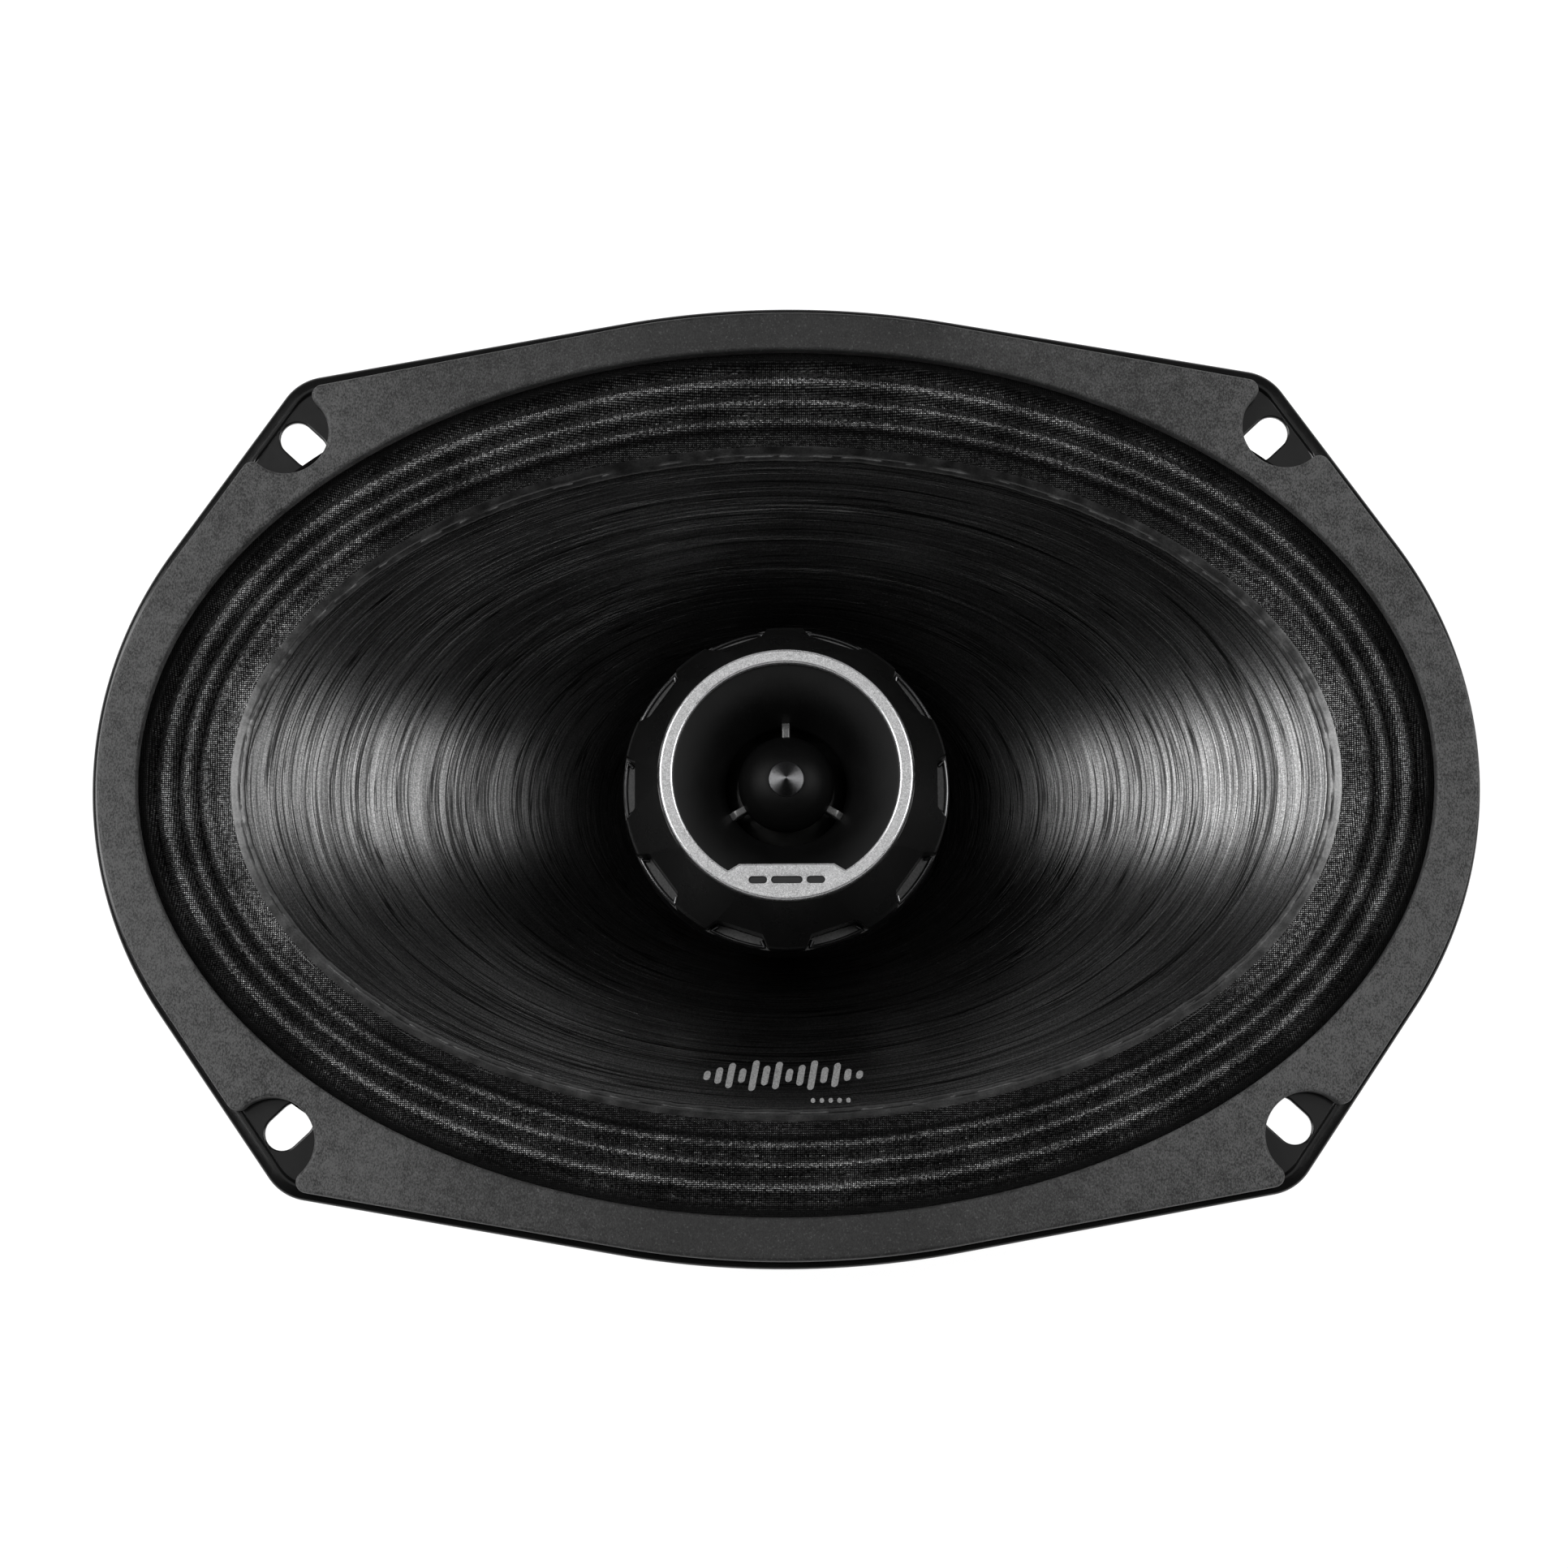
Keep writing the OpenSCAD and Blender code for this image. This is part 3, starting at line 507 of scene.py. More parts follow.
M = {
    "black_steel": mat_paint("basket_enamel", 0.008, 0.14, 0.22, 0.004),
    "foam": mat_foam(),
    "woven_cloth": mat_cloth(),
    "cone_paper": mat_cone(),
    "former_kapton": mat_film("former_film", (0.30, 0.13, 0.025), 0.3),
    "copper_wire": mat_windings("enamelled_copper", (0.62, 0.26, 0.11), 0.3),
    "spider_cloth": mat_spider(),
    "braid": mat_metal("tinned_copper_braid", (0.62, 0.33, 0.17), 0.3, 0.5, 0.03, 0.3),
    "zinc_steel": mat_metal("zinc_plate", (0.56, 0.56, 0.58), 0.26, 0.48, 0.02, 0.7),
    "ferrite": mat_film("ferrite_grey", (0.05, 0.05, 0.054), 0.55, 0.6),
    "boot_rubber": mat_rubber(),
    "black_plastic": mat_plastic("housing_plastic", 0.004, 0.24, 0.34, 0.3, 0.008),
    "horn": mat_plastic("horn_plastic", 0.003, 0.36, 0.48, 0.22, 0.016, 0.4),
    "plug": mat_plastic("plug_plastic", 0.003, 0.42, 0.52, 0.25, 0.01, 0.12),
    "silver_trim": mat_silver_face(),
    "silver_bevel": mat_polish(),
    "tip_metal": mat_turned(),
    "dome_film": mat_film("dome_film", (0.006, 0.006, 0.0055), 0.32, 1.2, 0.3),
    "nickel": mat_metal("nickel_plate", (0.66, 0.65, 0.62), 0.18, 0.36, 0.01, 0.5),
    "solder": mat_metal("solder", (0.58, 0.58, 0.57), 0.2, 0.42, 0.05, 0.9),
    "phenolic": mat_phenolic(),
    "gold_plate": mat_metal("gold_plating", (0.78, 0.55, 0.2), 0.2, 0.36, 0.01, 0.5),
    "cap_film": mat_film("capacitor_wrap", (0.010, 0.025, 0.085), 0.3, 3.0),
    "epoxy": mat_film("capacitor_epoxy", (0.16, 0.09, 0.03), 0.3, 1.5),
    "lead_sleeve": mat_film("wire_sleeve", (0.013, 0.013, 0.014), 0.4, 1.2),
    "glue": mat_glue(),
    # painted highlight: the spokes get a lighter plastic than the rest of the plug, standing in for the light they
    # catch in the throat
    "spoke": mat_plastic("spoke_plastic", 0.1, 0.2, 0.3, 0.3, 0.01, 1.0),
    "ledge_edge": mat_metal("ledge_edge", (0.13, 0.13, 0.132), 0.2, 0.3, 0.006, 0.3),
    # painted light: the flat notch floors get a lighter copy of the housing plastic, standing in for the overhead light
    # they reflect
    "ledge": mat_plastic("ledge_plastic", 0.065, 0.42, 0.56, 0.35, 0.05),
    "mark": mat_mark(),
    "inlay": mat_film("dark_inlay", (0.012, 0.012, 0.013), 0.5, 0.6),
}
SLOT_OF = {s["node"]: s["material_slot"] for s in frame["record"]["subparts"]}
for name, o in nodes.items():
    m = M[SLOT_OF[name]]
    if not o.material_slots:
        o.data.materials.append(m)
    for s in o.material_slots:
        s.material = m


# ---------------------------------------------------------------- mesh helpers
class Soup:
    """Collects vertices in mm, faces and per-face material numbers, then makes one object."""

    def __init__(self):
        self.v, self.f, self.mi = [], [], []
        self.streak, self.uv = [], {}

    def add(self, verts, faces, mi=0):
        o = len(self.v)
        self.v += [tuple(map(float, p)) for p in verts]
        self.f += [tuple(i + o for i in f) for f in faces]
        self.mi += [mi] * len(faces) if isinstance(mi, int) else list(mi)
        return o

    def rings(self, rings, closed=False, mi=0, wrap=True):
        """rings: lists of points, all of one length. Faces run between neighbours."""
        n = len(rings[0])
        faces, mis = [], []
        m = len(rings)
        for j in range(m if closed else m - 1):
            a, b = j * n, ((j + 1) % m) * n
            for i in range(n if wrap else n - 1):
                k = (i + 1) % n
                faces.append((a + i, a + k, b + k, b + i))
                mis.append(mi if isinstance(mi, int) else mi[j])
        return self.add([p for r in rings for p in r], faces, mis)

    def fill(self, loops, z, mi=0, flip=False, extra=(), mapping=None):
        """Triangles inside loops[0] and outside the others; z is a number or a function of (x, y)."""
        pts, tris = cdt(loops, extra)
        vs = [(mapping(x, y) if mapping else (x, y, z(x, y) if callable(z) else z)) for x, y in pts]
        self.add(vs, [t[::-1] if flip else t for t in tris], mi)

    def make(self, name, mats, merge=0.0008, sharp=38, recalc=True, smooth=True):
        me = bpy.data.meshes.new(name)
        bm = bmesh.new()
        vs = [bm.verts.new((x * MM, y * MM, z * MM)) for x, y, z in self.v]
        for f, mi in zip(self.f, self.mi):
            if len(set(f)) < 3:
                continue
            try:
                face = bm.faces.new([vs[i] for i in f])
                face.material_index = mi
            except ValueError:
                pass
        if merge:
            bmesh.ops.remove_doubles(bm, verts=bm.verts, dist=merge * MM)
        bmesh.ops.dissolve_degenerate(bm, dist=1e-8, edges=bm.edges)
        if recalc:
            bmesh.ops.recalc_face_normals(bm, faces=bm.faces)
        bm.to_mesh(me)
        bm.free()
        o = bpy.data.objects.new(name, me)
        scene.collection.objects.link(o)
        for m in mats if isinstance(mats, (list, tuple)) else [mats]:
            me.materials.append(m)
        for p in me.polygons:
            p.use_smooth = smooth
        if smooth and sharp:
            me.set_sharp_from_angle(angle=math.radians(sharp))
        return o


def inside(loop, x, y):
    """Point in polygon for arrays x and y."""
    lx, ly = loop[:, 0], loop[:, 1]
    res = np.zeros(len(x), bool)
    j = len(lx) - 1
    for i in range(len(lx)):
        c = (ly[i] > y) != (ly[j] > y)
        with np.errstate(divide="ignore", invalid="ignore"):
            t = x < (lx[j] - lx[i]) * (y - ly[i]) / (ly[j] - ly[i] if ly[j] != ly[i] else 1e-12) + lx[i]
        res ^= c & t
        j = i
    return res


def cdt(loops, extra=()):
    pts, edges = [], []
    for lp in loops:
        s = len(pts)
        pts += [Vector((p[0], p[1])) for p in lp]
        edges += [(s + i, s + (i + 1) % len(lp)) for i in range(len(lp))]
    pts += [Vector(p) for p in extra]
    vo, _, fo, _, _, _ = delaunay_2d_cdt(pts, edges, [], 0, 1e-6)
    tris = []
    for f in fo:
        f = list(f)
        tris += [(f[0], f[i], f[i + 1]) for i in range(1, len(f) - 1)]
    V = np.array([(v[0], v[1]) for v in vo])
    T = np.array(tris)
    c = V[T].mean(1)
    ok = inside(np.array([(p[0], p[1]) for p in loops[0]]), c[:, 0], c[:, 1])
    for lp in loops[1:]:
        ok &= ~inside(np.array([(p[0], p[1]) for p in lp]), c[:, 0], c[:, 1])
    a = (V[T[:, 1]] - V[T[:, 0]])
    b = (V[T[:, 2]] - V[T[:, 0]])
    area = a[:, 0] * b[:, 1] - a[:, 1] * b[:, 0]
    out = []
    for t, k, s in zip(T.tolist(), ok, area):
        if k and abs(s) > 1e-7:
            out.append(tuple(t) if s > 0 else (t[0], t[2], t[1]))
    return [tuple(p) for p in V.tolist()], out


def arc(cx, cy, r, a0, a1, n):
    return [(cx + r * cosd(a0 + (a1 - a0) * i / n), cy + r * sind(a0 + (a1 - a0) * i / n)) for i in range(n + 1)]


def circle(r, n, cx=0.0, cy=0.0, a0=0.0):
    return [(cx + r * math.cos(TAU * i / n + a0), cy + r * math.sin(TAU * i / n + a0)) for i in range(n)]


def oval(a, b, n):
    return [(a * math.cos(TAU * i / n), b * math.sin(TAU * i / n)) for i in range(n)]


def at(loop, z):
    return [(p[0], p[1], z) for p in loop]


def lathe(soup, prof, n, closed=False, mi=0):
    """prof: (r, z) pairs. A radius of zero makes a pole, which merging closes."""
    rings = [[(max(r, 0.0) * math.cos(TAU * i / n), max(r, 0.0) * math.sin(TAU * i / n), z) for i in range(n)] for r, z in prof]
    return soup.rings(rings, closed, mi)


def rounded(prof, radii, seg=5, closed=True):
    """Rounds the corners of a polygon profile: radii is one number or one per point."""
    n = len(prof)
    out = []
    for i in range(n):
        r = radii if isinstance(radii, (int, float)) else radii[i]
        p = Vector(prof[i])
        if r <= 0 or (not closed and i in (0, n - 1)):
            out.append(tuple(p))
            continue
        a, b = Vector(prof[i - 1]) - p, Vector(prof[(i + 1) % n]) - p
        la, lb = a.length, b.length
        a.normalize(), b.normalize()
        ang = math.acos(max(-1, min(1, a.dot(b))))
        if ang > 3.1:
            out.append(tuple(p))
            continue
        d = min(r / math.tan(ang / 2), la * 0.48, lb * 0.48)
        rr = d * math.tan(ang / 2)
        c = p + (a + b).normalized() * (rr / math.sin(ang / 2))
        s, e = p + a * d - c, p + b * d - c
        a0, a1 = math.atan2(s.y, s.x), math.atan2(e.y, e.x)
        da = (a1 - a0 + math.pi) % TAU - math.pi
        out += [(c.x + rr * math.cos(a0 + da * k / seg), c.y + rr * math.sin(a0 + da * k / seg)) for k in range(seg + 1)]
    return out


def crom(p, k):
    """Catmull-Rom points along a list of tuples, k per step."""
    p = [Vector(q) for q in p]
    out = []
    n = len(p)
    for i in range(n - 1):
        a, b, c, d = p[max(i - 1, 0)], p[i], p[i + 1], p[min(i + 2, n - 1)]
        for j in range(k):
            t = j / k
            out.append(0.5 * ((2 * b) + (c - a) * t + (2 * a - 5 * b + 4 * c - d) * t * t + (3 * b - a - 3 * c + d) * t ** 3))
    out.append(p[-1])
    return out


def attach(o, body, slot, replaces=()):
    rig.ride(o, body)
    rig.slot(o, slot)
    if replaces:
        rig.replaces(o, *replaces)
    return o


def modified(o, name, kind, **kw):
    m = o.modifiers.new(name, kind)
    for k, v in kw.items():
        setattr(m, k, v)
    return m


def apply_modifiers(o):
    dg = bpy.context.evaluated_depsgraph_get()
    dg.update()
    me = bpy.data.meshes.new_from_object(o.evaluated_get(dg), preserve_all_data_layers=True, depsgraph=dg)
    o.modifiers.clear()
    old = o.data
    o.data = me
    bpy.data.meshes.remove(old)


# ---------------------------------------------------------------- flange outline
END_R, SIDE_R, COR_R = 70.5, 163.0, 9.0
END_X, SIDE_Y = 237 / 2 - END_R, 166.5 / 2 - SIDE_R
AN1, AN2 = 34.7, 79.9
H1 = END_X * cosd(AN1) + END_R - COR_R
H2 = SIDE_Y * sind(AN2) + SIDE_R - COR_R
DET = cosd(AN1) * sind(AN2) - sind(AN1) * cosd(AN2)
COR_X = (H1 * sind(AN2) - sind(AN1) * H2) / DET
COR_Y = (cosd(AN1) * H2 - cosd(AN2) * H1) / DET


def four(q):
    """Closes a quarter path that runs from the +X axis to the +Y axis."""
    n = len(q)
    return (q + [(-q[i][0], q[i][1]) for i in range(n - 2, -1, -1)]
            + [(-q[i][0], -q[i][1]) for i in range(1, n)] + [(q[i][0], -q[i][1]) for i in range(n - 2, 0, -1)])


def outline(d):
    return four(arc(END_X, 0, END_R - d, 0, AN1, 26) + arc(COR_X, COR_Y, COR_R - d, AN1, AN2, 12)
                + arc(0, SIDE_Y, SIDE_R - d, AN2, 90, 12))


def gasket_outline(o):
    """Outer edge of the gasket moved inwards by o: a notch round each screw slot, with a soft lobe at each end of it."""
    d = 0.8
    C, R, r = Vector((86.4, 61.7)), 6.9, 2.2
    q = arc(END_X, 0, END_R - d - o, 0, AN1, 30)
    lobes = []
    for an, h, sgn in ((AN1, END_X * cosd(AN1) + END_R, -1), (AN2, SIDE_Y * sind(AN2) + SIDE_R, 1)):
        n = Vector((cosd(an), sind(an)))
        t = Vector((-sind(an), cosd(an)))
        gap = (h - d - r) - n.dot(C)
        lobes.append((C + n * gap + t * sgn * math.sqrt((R + r) ** 2 - gap * gap), n))
    (la, na), (lb, nb) = lobes
    deg = lambda v: math.degrees(math.atan2(v.y, v.x))
    a0, a1 = deg(na), deg(C - la)
    a1 += 360 * (a1 < a0)
    q += arc(la.x, la.y, r - o, a0, a1, 14)
    b0, b1 = deg(la - C), deg(lb - C)
    while b1 > b0:
        b1 -= 360
    q += arc(C.x, C.y, R + o, b0, b1, 34)[1:-1]
    c0, c1 = deg(C - lb), deg(nb)
    while c1 < c0:
        c1 += 360
    q += arc(lb.x, lb.y, r - o, c0, c1, 14)
    q += arc(0, SIDE_Y, SIDE_R - d - o, AN2, 90, 16)
    return four(q)


def ray_hit(loop, c, ang):
    """Distance from c along ang to a closed polygon."""
    d = Vector((math.cos(ang), math.sin(ang)))
    best = 1e9
    n = len(loop)
    for i in range(n):
        p, q = loop[i], loop[(i + 1) % n]
        ex, ey = q[0] - p[0], q[1] - p[1]
        den = d.x * ey - d.y * ex
        if abs(den) < 1e-12:
            continue
        t = ((p[0] - c[0]) * ey - (p[1] - c[1]) * ex) / den
        u = ((p[0] - c[0]) * d.y - (p[1] - c[1]) * d.x) / den
        if -1e-9 <= u <= 1 + 1e-9 and 0 < t < best:
            best = t
    return best


PAD_C, PAD_R = (84.5, 60.7), 9.4


def pad_loop(d, sx, sy, n=96):
    """The pressed pad round a screw slot, inset by d."""
    q = [p for p in outline(2.25 + d) if p[0] > 40 and p[1] > 20] + [(40, 20)]
    out = []
    for i in range(n):
        a = TAU * i / n
        r = min(PAD_R - d, ray_hit(q, PAD_C, a))
        out.append((PAD_C[0] + r * math.cos(a), PAD_C[1] + r * math.sin(a)))
    return mirrored(out, sx, sy)


def mirrored(loop, sx, sy):
    out = [(sx * p[0], sy * p[1]) for p in loop]
    return out if sx * sy > 0 else out[::-1]


SLOT_Y = 59.1


def slot_loop(o, sx, sy):
    """A screw slot, grown by o."""
    r = 2.9 + o
    h = 4.5 - 2.9
    ux, uy = cosd(43), sind(43)
    pts = [(83.6 + ux * h + p[0], SLOT_Y + uy * h + p[1]) for p in arc(0, 0, r, 43 - 90, 43 + 90, 20)]
    pts += [(83.6 - ux * h + p[0], SLOT_Y - uy * h + p[1]) for p in arc(0, 0, r, 43 + 90, 43 + 270, 20)]
    return mirrored(pts, sx, sy)


# ---------------------------------------------------------------- basket
def shell_profile():
    """Outer surface of the pressed shell as (a, b, z) rings, densely sampled."""
    p = [(113.4, 77.8, 0.02), (112.0, 76.4, -0.12), (111.1, 75.5, -0.7), (110.7, 75.1, -1.7), (110.3, 74.7, -3.2), (109.7, 74.1, -5.2),
         (109.0, 73.4, -6.9)]
    p += [(108.4 + (51 - 108.4) * s, 72.8 + (51 - 72.8) * s, -8 - 31 * s) for s in [i / 10 for i in range(10)]]
    p += [(52.6, 51.6, -38.1), (50.7, 50.5, -40.0), (49.9, 49.9, -42.2), (49.4, 49.4, -44.4), (48.7, 48.7, -46.0), (47.4, 47.4, -47.0), (45.6, 45.6, -47.3),
          (43, 43, -47.3), (41.0, 41.0, -47.35), (39.7, 39.7, -47.9), (39.05, 39.05, -49.2), (38.7, 38.7, -51), (38.35, 38.35, -52.8),
          (37.5, 37.5, -53.75), (36.0, 36.0, -54.0), (31, 31, -54.0), (26, 26, -54.0), (21.5, 21.5, -54.0)]
    q = crom(p, 8)
    L = [0.0]
    for i in range(1, len(q)):
        a, b = q[i - 1], q[i]
        L.append(L[-1] + math.hypot(((b[0] + b[1]) - (a[0] + a[1])) / 2, b[2] - a[2]))
    return np.array([tuple(v) for v in q]), np.array(L)


SH_P, SH_L = shell_profile()
S_IN, LEGS = 1.5, (30, 90, 150, 210, 330)


def l_at_z(z):
    """Distance along the shell's profile where it reaches z, on its way down."""
    i = int(np.argmax(SH_P[:, 2] <= z))
    a, b = SH_P[i - 1], SH_P[i]
    return float(SH_L[i - 1] + (SH_L[i] - SH_L[i - 1]) * (z - a[2]) / (b[2] - a[2]))


L_TOP, L_BOT = l_at_z(-14.6), l_at_z(-38.2)


def shell_point(t, L):
    a, b, z = (np.interp(L, SH_L, SH_P[:, k]) for k in range(3))
    return np.stack([a * np.cos(t), b * np.sin(t), z], -1)


def shell_at(t, L, depth):
    """Points of the shell at angle t, profile length L and depth below its outer skin."""
    t, L = np.asarray(t, float), np.asarray(L, float)
    e, el = 1e-3, 0.08
    p = shell_point(t, L)
    dt = shell_point(t + e, L) - shell_point(t - e, L)
    dl = shell_point(t, np.minimum(L + el, SH_L[-1])) - shell_point(t, np.maximum(L - el, 0))
    n = np.cross(dl, dt)
    n /= np.linalg.norm(n, axis=-1, keepdims=True) + 1e-12
    # stamped ribs down the legs, and a stiffening bead under the flange
    raise_ = np.zeros_like(L)
    along = np.clip((L - (L_TOP - 5.0)) / 6, 0, 1) * np.clip((L_BOT + 3.5 - L) / 5, 0, 1)
    along = along * along * (3 - 2 * along)
    for tc in LEGS:
        g = np.linalg.norm(dt, axis=-1) / (2 * e)
        u = np.abs((t - math.radians(tc) + math.pi) % TAU - math.pi) * g
        w = 1 - np.clip((u - 1.6) / 2.0, 0, 1)
        raise_ = np.maximum(raise_, along * w * w * (3 - 2 * w))
    bead = np.exp(-((L - l_at_z(-9.4)) / 1.3) ** 2) * 0.45
    return p + n * ((raise_ * 1.0 + bead) - depth)[..., None]


def window_loop(k, off):
    """Edge of one opening between two legs as (angle * 70, profile length), grown by off mm into the metal."""
    tc = math.radians(60 * k)
    hw = math.radians(22.2)
    out = []
    for (st, L0, r0, dirL) in ((-1, L_TOP, 7.0, 1), (1, L_TOP, 7.0, 1), (1, L_BOT, 5.0, -1), (-1, L_BOT, 5.0, -1)):
        tcor = tc + st * hw
        g = np.linalg.norm(shell_point(tcor + 1e-3, L0) - shell_point(tcor - 1e-3, L0)) / 2e-3
        pl = shell_point(tcor, L0 + 0.5) - shell_point(tcor, L0 - 0.5)
        gl = np.linalg.norm(pl)
        rt, rl = r0 / g, r0 / gl
        ct, cl = tcor - st * rt, L0 + dirL * rl
        ot, ol = off / g, off / gl
        if (st, dirL) == (-1, 1):
            angs = (180, 270)
        elif (st, dirL) == (1, 1):
            angs = (270, 360)
        elif (st, dirL) == (1, -1):
            angs = (0, 90)
        else:
            angs = (90, 180)
        for i in range(13):
            an = angs[0] + (angs[1] - angs[0]) * i / 12
            out.append((ct + (rt + ot) * cosd(an), cl + (rl + ol) * sind(an)))
    # straight runs are subdivided so that they follow the curve of the shell
    res = []
    n = len(out)
    for i in range(n):
        p, q = out[i], out[(i + 1) % n]
        res.append(p)
        if i % 13 == 12:
            m = 26 if abs(p[0] - q[0]) > 0.2 else 20
            for j in range(1, m):
                res.append((p[0] + (q[0] - p[0]) * j / m, p[1] + (q[1] - p[1]) * j / m))
    return [(a * 70, l) for a, l in res]


def make_basket():
    s = Soup()
    # flange plate: rounded outer edge, flat faces, pressed pads and slots
    ed = [(1.4, 0.0), (0.6, 0.0), (0.25, 0.05), (0.06, 0.18), (0.0, 0.4), (0.0, 0.62), (0.06, 0.86), (0.2, 1.06), (0.42, 1.2), (0.75, 1.33), (1.2, 1.46), (1.6, 1.55), (1.9, 1.6), (2.0, 1.6)]
    s.rings([at(outline(d), z) for d, z in ed])
    corners = [(sx, sy) for sx in (1, -1) for sy in (1, -1)]
    inner_t, inner_b = oval(109.9, 74.3, 180), oval(109.9, 74.3, 180)
    s.fill([outline(2.0)] + [pad_loop(-0.12, *c) for c in corners] + [inner_t], 1.6)
    s.fill([outline(1.4)] + [slot_loop(0.45, *c) for c in corners] + [inner_b], 0.0, flip=True)
    s.rings([at(inner_t, 1.6), at(inner_b, 0.0)])
    for c in corners:
        st = [(-0.12, 1.6), (0.0, 1.59), (0.14, 1.52), (0.24, 1.38), (0.3, 1.25), (0.42, 1.15), (0.6, 1.1), (0.75, 1.1)]
        s.rings([at(pad_loop(d, *c), z) for d, z in st])
        s.fill([pad_loop(0.75, *c), slot_loop(0.4, *c)], 1.1)
        sl = [(0.4, 1.1), (0.28, 1.1), (0.12, 1.05), (0.03, 0.95), (0, 0.8), (0, 0.3), (0.08, 0.12), (0.22, 0.03), (0.35, 0.0), (0.45, 0.0)]
        s.rings([at(slot_loop(d, *c), z) for d, z in sl])
    # pressed shell with six windows
    t0 = math.radians(30)
    W = [window_loop(k, 0.38) for k in range(1, 7)]
    xs = np.linspace(t0 * 70, (t0 + TAU) * 70, 361)
    rows = np.unique(np.concatenate([SH_L[::4], [SH_L[-1]], np.arange(L_TOP - 8, L_BOT + 6, 1.5)]))
    rows = [r for i, r in enumerate(rows)]
    keep = [rows[0]]
    for r in rows[1:]:
        if r - keep[-1] > 0.45:
            keep.append(r)
    keep[-1] = SH_L[-1]
    border = [(x, keep[0]) for x in xs] + [(xs[-1], l) for l in keep[1:]] + [(x, keep[-1]) for x in xs[::-1][1:]] + [(xs[0], l) for l in keep[::-1][1:-1]]
    gx, gl = np.meshgrid(xs[1:-1], keep[1:-1])
    gx, gl = gx.ravel(), gl.ravel()
    ok = np.ones(len(gx), bool)
    for w in W:
        wl = np.array(w)
        cx, cy = wl.mean(0)
        big = (wl - (cx, cy)) * (1 + 0.9 / np.abs(wl - (cx, cy)).max(0)) + (cx, cy)
        ok &= ~inside(big, gx, gl)
    pts, tris = cdt([border] + W, list(zip(gx[ok], gl[ok])))
    P = np.array(pts)
    outer = shell_at(P[:, 0] / 70, P[:, 1], 0.0)
    inner = shell_at(P[:, 0] / 70, P[:, 1], S_IN)
    s.add(outer, tris)
    s.add(inner, [t[::-1] for t in tris])
    for k in range(1, 7):
        rim = []
        for off, dep in ((0.38, 0.0), (0.2, 0.03), (0.07, 0.13), (0.0, 0.34), (0.0, 1.16), (0.07, 1.37), (0.2, 1.47), (0.38, S_IN)):
            w = np.array(window_loop(k, off))
            rim.append(shell_at(w[:, 0] / 70, w[:, 1], dep).tolist())
        s.rings(rim)
    for L in (keep[0], keep[-1]):
        tt = xs / 70
        s.rings([shell_at(tt, np.full(len(tt), L), d).tolist() for d in (0.0, S_IN)], wrap=False)
    return s.make("basket_body", [M["black_steel"]], merge=0.002, sharp=50)


attach(make_basket(), "frame", "black_steel", ["basket"])


# ---------------------------------------------------------------- gasket
def make_gasket():
    s = Soup()
    z0, z1 = 1.6, 4.5
    out = [(0.0, z0), (0.0, z1 - 0.55), (0.05, z1 - 0.32), (0.18, z1 - 0.14), (0.36, z1 - 0.04), (0.6, z1), (0.8, z1)]
    inn = [(0.75, z1), (0.5, z1 - 0.01), (0.28, z1 - 0.07), (0.1, z1 - 0.2), (0.0, z1 - 0.42), (0.0, z0)]
    sm = lambda v: (lambda t: t * t * (3 - 2 * t))(min(max(v, 0.0), 1.0))
    # laid by hand: a little towards +X, and short of the rim on the upper side
    OUT = [[(q[0] + 0.25, q[1] - sm(q[1] / 30) * (0.5 + 0.75 * sm((abs(q[0]) - 20) / 50))) for q in gasket_outline(d + 0.38)] for d, _ in out]
    s.rings([at(l, z) for l, (_, z) in zip(OUT, out)])
    INN = [oval(110.4 + d, 74.8 + d, 288) for d, _ in inn]
    s.rings([at(l, z) for l, (_, z) in zip(INN, inn)])
    s.fill([OUT[-1], INN[0]], z1)
    s.fill([OUT[0], INN[-1]], z0, flip=True)
    return s.make("gasket_ring", [M["foam"]], merge=0.002, sharp=60)


attach(make_gasket(), "frame", "foam", ["gasket"])


# ---------------------------------------------------------------- surround
SU = [(-5.0, 1.85), (-2.0, 1.85), (0.9, 1.85), (1.6, 0.9), (2.5, -0.6), (3.4, 0.6), (4.2, 1.7), (5.1, 1.7), (5.9, 0.4), (6.6, -0.5), (7.2, 0.5),
      (7.9, 1.35), (8.5, 1.3), (9.2, 0.1), (9.8, -0.7), (10.5, 0.3), (11.2, 1.0), (11.9, 0.8), (12.8, -0.15), (13.6, -0.5), (14.5, -0.42), (15.3, -0.35)]


def weights(o, f):
    """Replaces the blend weights of a piece by f(x, y, z) in mm: 0 stays with the frame, 1 goes with the cone."""
    co = np.zeros(len(o.data.vertices) * 3)
    o.data.vertices.foreach_get("co", co)
    co = co.reshape(-1, 3) / MM
    w = np.clip(f(co[:, 0], co[:, 1], co[:, 2]), 0, 1)
    w = w * w * (3 - 2 * w)
    o.data.attributes["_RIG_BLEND"].data.foreach_set("value", w.astype(np.float32))


